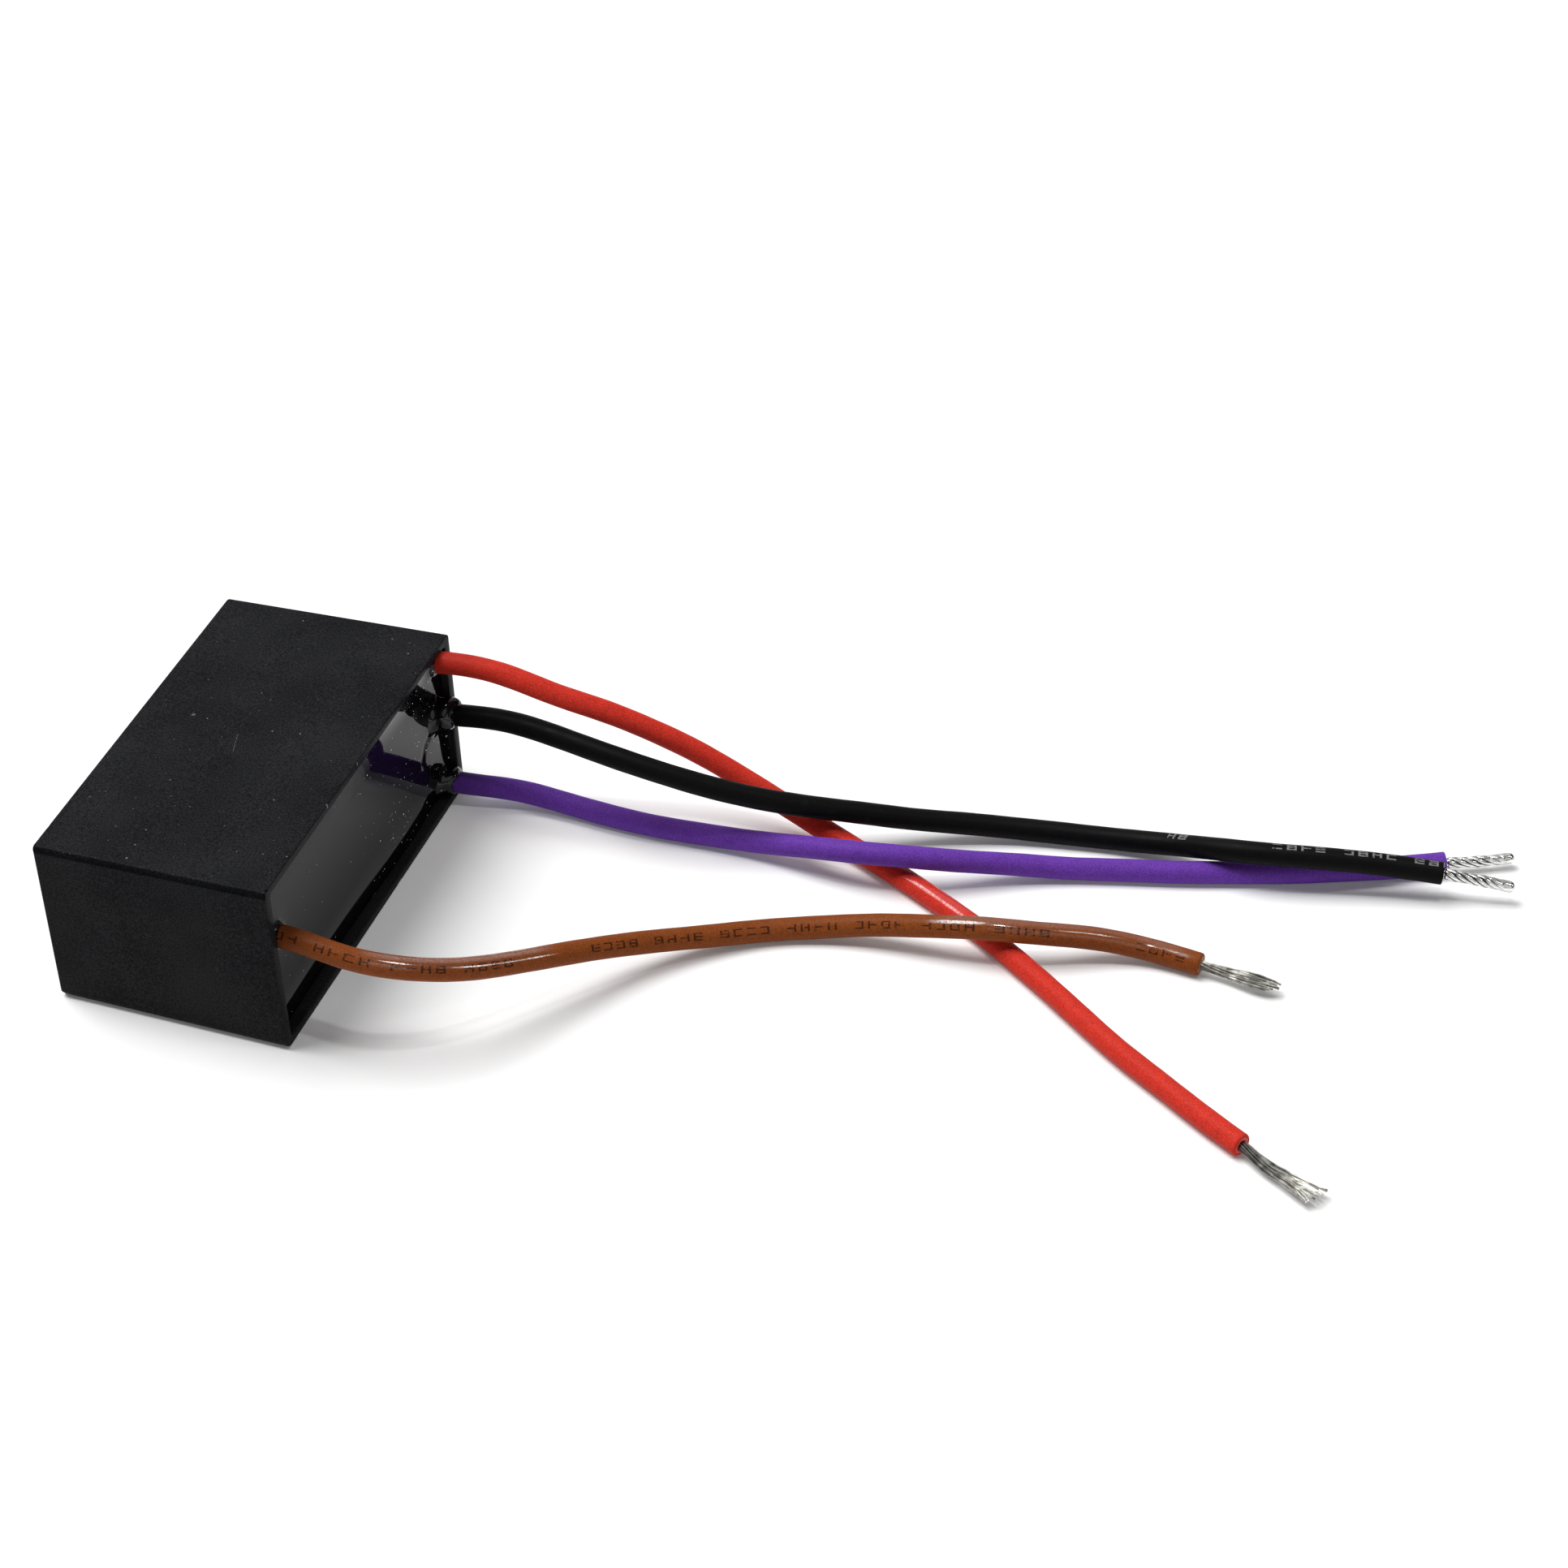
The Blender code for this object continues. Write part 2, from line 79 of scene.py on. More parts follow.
# The leads' routes in metres, from inside the resin to the end of each jacket. They are the
# CAD source's within 0.35 mm.
ROUTES = {
    "red": [
        (0.009, 0.0229, 0.02135), (0.013, 0.023, 0.02138), (0.017, 0.0233, 0.02158),
        (0.0231, 0.02375, 0.021), (0.0293, 0.0245, 0.0189), (0.0352, 0.026, 0.0165),
        (0.0407, 0.0276, 0.0136), (0.0462, 0.0289, 0.0104), (0.0518, 0.0295, 0.0071),
        (0.0577, 0.0292, 0.0043), (0.0638, 0.028, 0.0023), (0.0698, 0.0258, 0.00155),
        (0.0757, 0.023, 0.00145), (0.0814, 0.0199, 0.00145), (0.087, 0.0166, 0.00145),
        (0.0924, 0.013, 0.00145), (0.0977, 0.0092, 0.00145), (0.1029, 0.0053, 0.00145),
        (0.1082, 0.0015, 0.00145), (0.1137, -0.002, 0.00145), (0.1192, -0.0055, 0.00145),
        (0.1248, -0.0088, 0.00145),
    ],
    "black": [
        (0.009, 0.0229, 0.0133), (0.013, 0.02295, 0.01335), (0.0166, 0.0231, 0.0137),
        (0.0228, 0.0233, 0.0141), (0.0294, 0.0226, 0.014), (0.0359, 0.0222, 0.0131),
        (0.0424, 0.0225, 0.0117), (0.0487, 0.0236, 0.0099), (0.0548, 0.0252, 0.0082),
        (0.0609, 0.0274, 0.0066), (0.0668, 0.0299, 0.0051), (0.0727, 0.0324, 0.0036),
        (0.0788, 0.0348, 0.0025), (0.0851, 0.0367, 0.00175), (0.0916, 0.0379, 0.0015),
        (0.0982, 0.0387, 0.0016), (0.1047, 0.0385, 0.0026), (0.1109, 0.037, 0.0046),
        (0.1174, 0.0374, 0.0051), (0.1238, 0.0389, 0.0048), (0.1303, 0.0404, 0.0043),
        (0.1368, 0.0415, 0.0038),
    ],
    "purple": [
        (0.009, 0.0229, 0.0029), (0.013, 0.02295, 0.0029), (0.0167, 0.0232, 0.0028),
        (0.0229, 0.0245, 0.0022), (0.0294, 0.0247, 0.0016), (0.036, 0.0242, 0.00145),
        (0.0425, 0.024, 0.00145), (0.0491, 0.0242, 0.0016), (0.0556, 0.0241, 0.0022),
        (0.062, 0.0235, 0.0035), (0.0684, 0.023, 0.0047), (0.0749, 0.0241, 0.0047),
        (0.0809, 0.0265, 0.0036), (0.0867, 0.0292, 0.0024), (0.0929, 0.0314, 0.0016),
        (0.0992, 0.0332, 0.00145), (0.1055, 0.0348, 0.00145), (0.1118, 0.0367, 0.00145),
        (0.1181, 0.0387, 0.00145), (0.1242, 0.041, 0.00145), (0.1303, 0.0435, 0.00145),
        (0.1362, 0.0463, 0.00145),
    ],
    "brown": [
        (0.009, -0.0229, 0.0153), (0.013, -0.02295, 0.0153), (0.0169, -0.02315, 0.0152),
        (0.0232, -0.0233, 0.0144), (0.0292, -0.0211, 0.0126), (0.0342, -0.0172, 0.0105),
        (0.0383, -0.0124, 0.0085), (0.0423, -0.0074, 0.0067), (0.0464, -0.0025, 0.0049),
        (0.051, 0.002, 0.0033), (0.0561, 0.006, 0.0021), (0.0618, 0.0095, 0.00155),
        (0.068, 0.0118, 0.0018), (0.0744, 0.013, 0.0028), (0.0809, 0.0134, 0.004),
        (0.0875, 0.0141, 0.0048), (0.0939, 0.0158, 0.0043), (0.0999, 0.0182, 0.0031),
        (0.1062, 0.0197, 0.0018), (0.1128, 0.0193, 0.00145),
    ],
}

# Stripped ends beyond each jacket, in metres.
BARE_STOPS = {
    "red": [(0.128, -0.0109, 0.0014), (0.1316, -0.0126, 0.00135), (0.1349, -0.0143, 0.0014)],
    "black": [(0.1396, 0.042, 0.0034), (0.1426, 0.0426, 0.0029), (0.1453, 0.0432, 0.0023)],
    "purple": [(0.1389, 0.0474, 0.0014), (0.1415, 0.0486, 0.0014), (0.144, 0.0499, 0.0014)],
    "brown": [(0.1158, 0.0189, 0.0014), (0.1194, 0.0185, 0.00135), (0.1227, 0.0181, 0.0013)],
}


# ---------------------------------------- lines and meshes

def smooth_route(points, step):
    """Points every step metres along a natural cubic spline, as the CAD's leads are made."""
    knots = np.array(points, dtype=float)
    spans = np.linalg.norm(np.diff(knots, axis=0), axis=1)
    at = np.concatenate(([0.0], np.cumsum(spans)))
    count = len(knots)
    system = np.eye(count)
    right = np.zeros((count, 3))
    slopes = np.diff(knots, axis=0) / spans[:, None]
    for i in range(1, count - 1):
        system[i, i - 1:i + 2] = (spans[i - 1], 2 * (spans[i - 1] + spans[i]), spans[i])
        right[i] = 6 * (slopes[i] - slopes[i - 1])
    bends = np.linalg.solve(system, right)
    samples = np.linspace(0, at[-1], max(2, round(at[-1] / step) + 1))
    route = []
    for s in samples:
        i = min(int(np.searchsorted(at, s, side="right")) - 1, count - 2)
        h = spans[i]
        a = (at[i + 1] - s) / h
        b = (s - at[i]) / h
        bent = ((a ** 3 - a) * bends[i] + (b ** 3 - b) * bends[i + 1]) * h * h / 6
        route.append(a * knots[i] + b * knots[i + 1] + bent)
    return np.array(route)


def lengths_along(line):
    return np.concatenate(([0.0], np.cumsum(np.linalg.norm(np.diff(line, axis=0), axis=1))))


def directions(line):
    ahead = np.gradient(line, axis=0)
    return ahead / np.linalg.norm(ahead, axis=1)[:, None]


def cross_frames(line, towards):
    """Two unit vectors across the line at each point, the first as near to towards as can be."""
    ahead = directions(line)
    fixed = np.array(towards, dtype=float)
    first = fixed - ahead * (ahead @ fixed)[:, None]
    first /= np.linalg.norm(first, axis=1)[:, None]
    return first, np.cross(ahead, first)


def link_mesh(name, verts, faces, materials, angle=40):
    mesh = bpy.data.meshes.new(name)
    mesh.from_pydata([tuple(v) for v in verts], [], faces)
    for material in materials:
        mesh.materials.append(material)
    mesh.shade_smooth()
    mesh.set_sharp_from_angle(angle=math.radians(angle))
    item = bpy.data.objects.new(name, mesh)
    bpy.context.scene.collection.objects.link(item)
    return item


def ring_faces(rings, around):
    """Quads between rings of the same size, and a cap on both ends."""
    faces = []
    for k in range(rings - 1):
        for i in range(around):
            j = (i + 1) % around
            low, high = k * around, (k + 1) * around
            faces.append((low + i, low + j, high + j, high + i))
    faces.append(tuple(reversed(range(around))))
    faces.append(tuple(range((rings - 1) * around, rings * around)))
    return faces


def mark_faces(item, material_index, first, count):
    """Gives some of a mesh's faces another of its materials."""
    for polygon in item.data.polygons[first:first + count]:
        polygon.material_index = material_index


# ---------------------------------------- node materials

class Tree:
    """A short way to write a tree of nodes."""

    def __init__(self, tree, place):
        self.tree = tree
        self.place = self.add("ShaderNodeTexCoord").outputs[place]

    def add(self, kind, **settings):
        node = self.tree.nodes.new(kind)
        for key, value in settings.items():
            setattr(node, key, value)
        return node

    def join(self, output, node, socket):
        self.tree.links.new(output, node.inputs[socket])

    def scaled(self, by, source=None):
        node = self.add("ShaderNodeMapping")
        node.inputs["Scale"].default_value = by
        self.join(source or self.place, node, "Vector")
        return node.outputs["Vector"]

    def noise(self, scale, detail=2.0, roughness=0.5, source=None):
        node = self.add("ShaderNodeTexNoise")
        node.inputs["Scale"].default_value = scale
        node.inputs["Detail"].default_value = detail
        node.inputs["Roughness"].default_value = roughness
        self.join(source or self.place, node, "Vector")
        return node.outputs["Fac"]

    def specks(self, scale, radius, share, flat=None):
        """Round grains of random size, in the given share of the cells of a plane or of space."""
        cell = self.add("ShaderNodeTexVoronoi", voronoi_dimensions="2D" if flat else "3D")
        cell.inputs["Scale"].default_value = scale
        self.join(flat or self.place, cell, "Vector")
        chance = self.add("ShaderNodeSeparateColor")
        self.join(cell.outputs["Color"], chance, "Color")
        there = self.above(chance.outputs["Red"], 1 - share)
        size = self.times(chance.outputs["Green"], radius)
        return self.times(self.below(cell.outputs["Distance"], size), there)

    def maths(self, operation, *values):
        node = self.add("ShaderNodeMath", operation=operation)
        for index, value in enumerate(values):
            if isinstance(value, (int, float)):
                node.inputs[index].default_value = value
            else:
                self.join(value, node, index)
        return node.outputs["Value"]

    def times(self, total, *others):
        for other in others:
            total = self.maths("MULTIPLY", total, other)
        return total

    def most(self, total, *others):
        for other in others:
            total = self.maths("MAXIMUM", total, other)
        return total

    def above(self, value, limit):
        return self.maths("GREATER_THAN", value, limit)

    def below(self, value, limit):
        return self.maths("LESS_THAN", value, limit)

    def plane(self, across, up):
        """A place on a plane, for grains that all lie in it."""
        node = self.add("ShaderNodeCombineXYZ")
        self.join(across, node, "X")
        self.join(up, node, "Y")
        return node.outputs["Vector"]

    def spread(self, value, low, high, to_low=0.0, to_high=1.0):
        node = self.add("ShaderNodeMapRange", interpolation_type="SMOOTHSTEP")
        self.join(value, node, "Value")
        for key, number in (("From Min", low), ("From Max", high),
                            ("To Min", to_low), ("To Max", to_high)):
            node.inputs[key].default_value = number
        return node.outputs["Result"]

    def mix(self, share, first, second):
        """Mixes two colours; share is a socket and each colour a socket or four numbers."""
        node = self.add("ShaderNodeMix", data_type="RGBA")
        self.join(share, node, "Factor")
        for key, value in (("A", first), ("B", second)):
            socket = [s for s in node.inputs if s.name == key and s.type == "RGBA"][0]
            if isinstance(value, tuple):
                socket.default_value = value
            else:
                self.tree.links.new(value, socket)
        return [s for s in node.outputs if s.type == "RGBA"][0]

    def axes(self, source=None):
        node = self.add("ShaderNodeSeparateXYZ")
        self.join(source or self.place, node, "Vector")
        return node.outputs["X"], node.outputs["Y"], node.outputs["Z"]


class Nodes(Tree):
    """A short way to write one procedural material."""

    def __init__(self, name, colour, roughness, metallic=0.0):
        self.material = bpy.data.materials.new(name)
        self.material.use_nodes = True
        super().__init__(self.material.node_tree, "Object")
        self.shader = self.tree.nodes["Principled BSDF"]
        self.set("Base Color", colour)
        self.set("Roughness", roughness)
        self.set("Metallic", metallic)

    def set(self, socket, value):
        self.shader.inputs[socket].default_value = value

    def to_shader(self, output, socket):
        self.join(output, self.shader, socket)

    def vary_colour(self, share, first, second):
        self.to_shader(self.mix(share, first, second), "Base Color")

    def vary_roughness(self, grain, low, high, smooth, rough):
        self.to_shader(self.spread(grain, low, high, smooth, rough), "Roughness")

    def bump(self, height, distance, strength=1.0, under=None):
        node = self.add("ShaderNodeBump")
        node.inputs["Strength"].default_value = strength
        node.inputs["Distance"].default_value = distance
        self.join(height, node, "Height")
        if under is not None:
            self.join(under, node, "Normal")
        self.to_shader(node.outputs["Normal"], "Normal")
        return node.outputs["Normal"]


def grey(value):
    return (value, value, value, 1)


def darker(colour, share):
    return paler(colour, share, 0.0)


def paler(colour, share, lift):
    return tuple(min(1.0, c * share + lift) for c in colour[:3]) + (1,)


PALE_DUST = (0.42, 0.41, 0.38, 1)
CASE_SHINE = 0.018  # the case's specular level, away from its edges painted dark
# Rubbed spots on the upper face, as x, y and radius, and the ends of a bent scratch, as x and y,
# in millimetres.
SPOTS = [(-8.1, 2.3, 0.36), (-7.1, -19.5, 0.22), (-5.0, -9.9, 0.15), (-12.7, -15.5, 0.20),
         (8.8, 23.0, 0.20), (-2.0, 8.5, 0.14)]
SCRATCH = [(-1.2, 0.4), (-0.7, -1.3), (-0.2, -3.0)]


def case_marks(n, x, y, z):
    """Where the upper face is rubbed or scratched."""
    broken = n.spread(n.noise(3800, 3, 0.7), 0.46, 0.60)
    spots = []
    for spot_x, spot_y, radius in SPOTS:
        across = n.maths("SUBTRACT", x, spot_x * MM)
        along = n.maths("SUBTRACT", y, spot_y * MM)
        away = n.maths("SQRT", n.maths("ADD", n.times(across, across), n.times(along, along)))
        spots.append(n.spread(away, radius * MM, 0.4 * radius * MM))
    marks = [n.times(n.most(*spots), broken)]
    faint = n.maths("ADD", n.times(broken, 0.7), 0.2)
    for (x0, y0), (x1, y1) in zip(SCRATCH, SCRATCH[1:]):
        slope = (x1 - x0) / (y1 - y0)
        line_x = n.maths("ADD", n.times(n.maths("SUBTRACT", y, y0 * MM), slope), x0 * MM)
        away = n.maths("ABSOLUTE", n.maths("SUBTRACT", x, line_x))
        near = n.spread(away, 0.07 * MM, 0.02 * MM)
        marks.append(n.times(near, faint, n.below(y, y0 * MM), n.above(y, y1 * MM)))
    return n.times(n.most(*marks), n.above(z, CASE_HIGH.z - 2 * MM))


def case_plastic():
    """Satin black moulding with a spark-eroded grain, dust, faint scratches, a glossier rim and a
    painted dark reflection on its upper end edges.
    """
    n = Nodes("case_plastic", (0.0125, 0.0127, 0.0138, 1), 0.45)
    x, y, z = n.axes()
    cloudy = n.noise(110, 3)
    fine = n.noise(4600, 2, 0.6)
    shade = n.maths("ADD", n.times(cloudy, 0.25), n.times(fine, 0.75))
    base = n.mix(n.spread(shade, 0.34, 0.66), (0.0052, 0.0053, 0.0064, 1),
                 (0.0204, 0.0206, 0.0218, 1))
    long_marks = n.noise(700, 2, source=n.scaled((1.0, 0.07, 1.0)))
    patches = n.spread(n.noise(90, 2), 0.52, 0.66)
    scratched = n.times(n.spread(long_marks, 0.70, 0.76), patches, 0.12)
    base = n.mix(scratched, base, grey(0.10))
    base = n.mix(n.times(n.specks(1500, 0.12, 0.35), 0.22), base, PALE_DUST)
    settled = n.specks(330, 0.042, 0.30, n.plane(x, y))
    base = n.mix(n.times(settled, n.above(z, CASE_HIGH.z - 0.5 * MM), 0.40), base, PALE_DUST)
    base = n.mix(n.times(case_marks(n, x, y, z), 0.38), base, (0.34, 0.34, 0.33, 1))
    # The upper edges of both end faces are painted darker and lose their specular: a painted dark
    # reflection of the dim room. out_y and out_z follow the drafted faces.
    lean = n.times(n.maths("SUBTRACT", RIM_X, x), DRAFT / CASE_DEPTH)
    out_y = n.maths("ADD", n.maths("ABSOLUTE", y), lean)
    out_z = n.maths("ADD", z, n.times(lean, 2.0))
    edge = n.times(n.spread(out_y, CASE_HIGH.y - 0.42 * MM, CASE_HIGH.y - 0.2 * MM),
                   n.spread(out_z, CASE_HIGH.z - 1.05 * MM, CASE_HIGH.z - 0.7 * MM))
    n.vary_colour(n.times(edge, 0.6), base, (0.002, 0.002, 0.0024, 1))
    n.to_shader(n.times(n.spread(edge, 0.0, 1.0, 1.0, 0.0), CASE_SHINE), "Specular IOR Level")
    rim = n.spread(x, RIM_X - 1.0 * MM, RIM_X - 0.3 * MM)
    satin = n.spread(n.noise(420, 3), 0.2, 0.8, 0.40, 0.52)
    rough = n.add("ShaderNodeMix", data_type="FLOAT")
    n.join(rim, rough, "Factor")
    n.join(satin, rough, "A")
    rough.inputs["B"].default_value = 0.22
    n.to_shader(rough.outputs["Result"], "Roughness")
    ripple = n.bump(n.noise(45, 2), 0.05 * MM, 0.25)
    n.bump(n.noise(5200, 3, 0.6), 0.020 * MM, 0.8, ripple)
    return n.material


FLAT_RESIN_IOR = 1.215
DRAWN_RESIN_IOR = 1.42  # for the collars, which catch more light


def poured_resin(name, index):
    """Poured black epoxy: nearly a mirror, with dust set into it."""
    black = (0.003, 0.003, 0.0035, 1)
    n = Nodes(name, black, 0.05)
    n.set("IOR", index)
    _, y, z = n.axes()
    flat = n.plane(y, z)
    # Dust lies thickest at the end with three leads.
    crowded = n.spread(y, -4 * MM, 12 * MM, 0.40, 1.0)
    dust = n.most(n.specks(900, 0.10, 0.13, flat), n.specks(2100, 0.14, 0.07, flat))
    dust = n.times(dust, n.above(crowded, n.noise(700, 1)))
    n.vary_colour(dust, black, (0.92, 0.91, 0.88, 1))
    smear = n.spread(n.noise(110, 2), 0.3, 0.75, 0.02, 0.09)
    n.to_shader(n.maths("ADD", smear, n.times(dust, 0.5)), "Roughness")
    n.bump(n.noise(160, 2), 0.05 * MM, 0.10)
    return n.material


PAINTED_ROOT_SHADE = 0.60  # how much painted shade darkens a jacket where it leaves the pour, for the case's shadow on it
UPPER_SIDE = 0.36  # where a lead's upper side lies, as a share of the way round


def pvc(name, colour, roughness, ink=None, ink_side=0.5, ink_from=0.0, gloss=1.7, shiny=()):
    """Extruded PVC jacket. The UV map runs along the lead in metres and once round it.

    The print begins ink_from metres along, with its middle at ink_side of the way round. shiny
    lists the stretches whose upper side is polished: from and to, in metres along the lead, and
    how much.
    """
    n = Nodes(name, colour, roughness)
    n.set("Specular IOR Level", 0.05)
    uv = n.add("ShaderNodeUVMap", uv_map="along").outputs["UV"]
    along, around, _ = n.axes(uv)
    if shiny:
        patches = []
        for start, end, amount in shiny:
            rising = n.spread(along, start - 2 * MM, start + 2 * MM)
            falling = n.spread(along, end + 2 * MM, end - 2 * MM)
            patches.append(n.times(rising, falling, amount))
        sparkle = n.spread(n.noise(4200, 2, 0.6), 0.30, 0.62, 0.25, 1.0)
        off_top = n.maths("ABSOLUTE", n.maths("SUBTRACT", around, UPPER_SIDE))
        sparkle = n.times(sparkle, n.spread(off_top, 0.19, 0.10))
        n.to_shader(n.times(n.most(*patches), sparkle), "Coat Weight")
        n.set("Coat Roughness", 0.15)
        n.set("Coat IOR", gloss)
    mottled = n.noise(900, 3)
    grainy = n.noise(7000, 2, 0.6)
    shade = n.maths("ADD", n.times(mottled, 0.15), n.times(grainy, 0.85))
    base = n.mix(n.spread(shade, 0.30, 0.70), darker(colour, 0.66), darker(colour, 1.28))
    rubbed = n.spread(n.noise(420, 3), 0.62, 0.80)
    base = n.mix(n.times(rubbed, 0.08), base, paler(colour, 1.15, 0.04))
    # Painted shade darkens the first centimetre outside the case, standing in for the shadow the
    # case casts on the jacket.
    base = n.mix(n.spread(along, 16 * MM, 5 * MM, 0.0, PAINTED_ROOT_SHADE), base, darker(colour, 0.35))
    if ink is not None:
        base = n.mix(print_marks(n, along, around, ink_side, ink_from), base, ink)
    n.to_shader(base, "Base Color")
    n.vary_roughness(n.noise(900, 2), 0.25, 0.75, roughness - 0.05, roughness + 0.07)
    drawn = n.noise(1.0, 2, source=n.scaled((260.0, 9.0, 1.0), uv))
    ridges = n.bump(drawn, 0.02 * MM, 0.3)
    n.bump(n.noise(6200, 2, 0.6), 0.020 * MM, 0.8, ridges)
    return n.material


PRINT_PITCH = 1.7 * MM
PRINT_HALF_TURN = 0.054  # half the height of the print, as a share of the way round


def print_marks(n, along, around, side, begins):
    """A worn row of small ink bars along the jacket, in groups, with no lettering."""
    cell = n.maths("DIVIDE", along, PRINT_PITCH)
    index = n.maths("FLOOR", cell)
    across = n.maths("SUBTRACT", n.maths("FRACT", cell), 0.5)
    up = n.maths("DIVIDE", n.maths("SUBTRACT", around, side), PRINT_HALF_TURN)
    wide = n.maths("ABSOLUTE", across)
    high = n.maths("ABSOLUTE", up)
    chance = n.add("ShaderNodeTexWhiteNoise", noise_dimensions="1D")
    n.join(index, chance, "W")
    picks = n.add("ShaderNodeSeparateColor")
    n.join(chance.outputs["Color"], picks, "Color")
    inside = n.times(n.below(wide, 0.34), n.below(high, 1.0))
    left = n.times(n.below(across, 0.0), n.above(picks.outputs["Red"], 0.25))
    right = n.times(n.above(across, 0.0), n.above(picks.outputs["Green"], 0.35))
    posts = n.times(n.above(wide, 0.18), n.most(left, right))
    rails = n.times(n.above(high, 0.62), n.above(picks.outputs["Blue"], 0.4))
    middle = n.times(n.below(high, 0.19), n.below(picks.outputs["Blue"], 0.75))
    fifth = n.maths("DIVIDE", index, 5.0)
    group = n.add("ShaderNodeTexWhiteNoise", noise_dimensions="1D")
    n.join(n.maths("FLOOR", fifth), group, "W")
    shown = n.times(n.above(n.maths("FRACT", fifth), 0.1), n.above(group.outputs["Value"], 0.12),
                    n.above(along, begins))
    worn = n.spread(n.noise(1900, 3), 0.30, 0.50)
    return n.times(n.most(posts, rails, middle), inside, shown, worn, 0.85)


def painted_pale_cut_pvc(name, colour):
    """The cut face of a jacket, rougher than its outside and painted paler: painted light that
    lifts the shade it faces.
    """
    n = Nodes(name, colour, 0.6)
    n.vary_colour(n.noise(2500, 3), darker(colour, 1.2), paler(colour, 1.8, 0.05))
    n.bump(n.noise(3500, 3), 0.03 * MM, 0.6)
    return n.material


def tinned_strands(name, toned_with_painted_light=False):
    """Tinned copper; with its tone used, it is darkened where its mesh's tone is low, which paints
    tarnish, shade and highlights along the strands.
    """
    n = Nodes(name, (0.62, 0.61, 0.58, 1), 0.3, 1.0)
    tarnish = n.spread(n.noise(900, 3), 0.35, 0.65)
    base = n.mix(tarnish, (0.34, 0.33, 0.29, 1), (0.95, 0.94, 0.89, 1))
    if toned_with_painted_light:
        tone = n.add("ShaderNodeAttribute", attribute_name="tone").outputs["Fac"]
        base = n.mix(tone, (0.035, 0.034, 0.030, 1), base)
    n.to_shader(base, "Base Color")
    n.vary_roughness(n.noise(1200, 2), 0.2, 0.8, 0.26, 0.44)
    n.bump(n.noise(2200, 2), 0.01 * MM, 0.4)
    return n.material


def solder_coated():
    """Bright solder over strands, with painted shade in the grooves that the mesh's tone marks."""
    n = Nodes("solder_coated", (0.80, 0.80, 0.78, 1), 0.26, 1.0)
    base = n.mix(n.spread(n.noise(2600, 3, 0.6), 0.3, 0.7), (0.62, 0.62, 0.60, 1),
                 (0.97, 0.97, 0.95, 1))
    tone = n.add("ShaderNodeAttribute", attribute_name="tone").outputs["Fac"]
    n.vary_colour(tone, (0.025, 0.024, 0.024, 1), base)
    n.vary_roughness(n.noise(1500, 3), 0.2, 0.8, 0.14, 0.28)
    n.bump(n.noise(2400, 3), 0.012 * MM, 0.3)
    return n.material


def wound_film():
    """Metallised film on edge: fine turns round the roll's rim."""
    n = Nodes("metallised_film", (0.66, 0.66, 0.63, 1), 0.3, 0.8)
    layers = n.noise(1.0, 2, source=n.scaled((3000, 60, 3000)))
    n.vary_colour(layers, (0.46, 0.46, 0.44, 1), (0.80, 0.80, 0.77, 1))
    n.vary_roughness(layers, 0.2, 0.8, 0.22, 0.42)
    n.bump(layers, 0.02 * MM, 0.5)
    return n.material


def clear_wrap():
    n = Nodes("wrap_film", (0.72, 0.66, 0.42, 1), 0.25)
    n.vary_colour(n.noise(220, 3), (0.62, 0.55, 0.32, 1), (0.80, 0.75, 0.52, 1))
    n.vary_roughness(n.noise(500, 2), 0.2, 0.8, 0.18, 0.34)
    n.bump(n.noise(1.0, 2, source=n.scaled((90, 700, 90))), 0.03 * MM, 0.4)
    return n.material


def sprayed_zinc():
    n = Nodes("zinc_spray", (0.45, 0.45, 0.44, 1), 0.65, 0.8)
    n.vary_colour(n.noise(2600, 4), grey(0.30), (0.58, 0.58, 0.56, 1))
    n.vary_roughness(n.noise(1800, 2), 0.2, 0.8, 0.5, 0.8)
    grains = n.add("ShaderNodeTexVoronoi")
    grains.inputs["Scale"].default_value = 3200
    n.join(n.place, grains, "Vector")
    n.bump(grains.outputs["Distance"], 0.06 * MM, 0.8)
    return n.material


def set_solder():
    n = Nodes("solder", (0.70, 0.70, 0.69, 1), 0.25, 1.0)
    n.vary_colour(n.noise(600, 3), (0.55, 0.55, 0.54, 1), (0.82, 0.82, 0.80, 1))
    n.vary_roughness(n.noise(900, 2), 0.2, 0.8, 0.16, 0.40)
    n.bump(n.noise(700, 2), 0.05 * MM, 0.4)
    return n.material


# ---------------------------------------- case

def rounded_outline(half, low, high, corner_radius, worn=1.0):
    """A rounded rectangle in the YZ plane, anticlockwise seen from +X.

    worn is how many times rounder its low corner at -Y is.
    """
    corners = ((half, high, 0), (-half, high, 90), (-half, low, 180), (half, low, 270))
    outline = []
    for y, z, start in corners:
        radius = max(corner_radius, 0.01 * MM)
        radius *= worn if start == 180 else 1.0
        centre_y = y - math.copysign(radius, y)
        centre_z = z - radius if z == high else z + radius
        for k in range(CORNER_STEPS + 1):
            angle = math.radians(start + 90 * k / CORNER_STEPS)
            outline.append((centre_y + radius * math.cos(angle),
                            centre_z + radius * math.sin(angle)))
    return outline


def case_ring(x, inset, radius, end_wall=0.0, side_wall=0.0):
    """One outline of the drafted tub at x, inset from its outside."""
    lean = DRAFT * (RIM_X - x) / CASE_DEPTH
    half = CASE_HIGH.y - lean - end_wall - inset
    low = CASE_LOW.z + side_wall + inset
    high = CASE_HIGH.z - 2 * lean - side_wall - inset
    worn = 1.0 if end_wall else WORN_CORNER
    return [(x, y, z) for y, z in rounded_outline(half, low, high, radius, worn)]


def quarter(radius, steps):
    """Steps of a quarter round: how far along and how far in."""
    for k in range(steps + 1):
        angle = math.radians(90 * k / steps)
        yield radius * (1 - math.cos(angle)), radius * (1 - math.sin(angle))


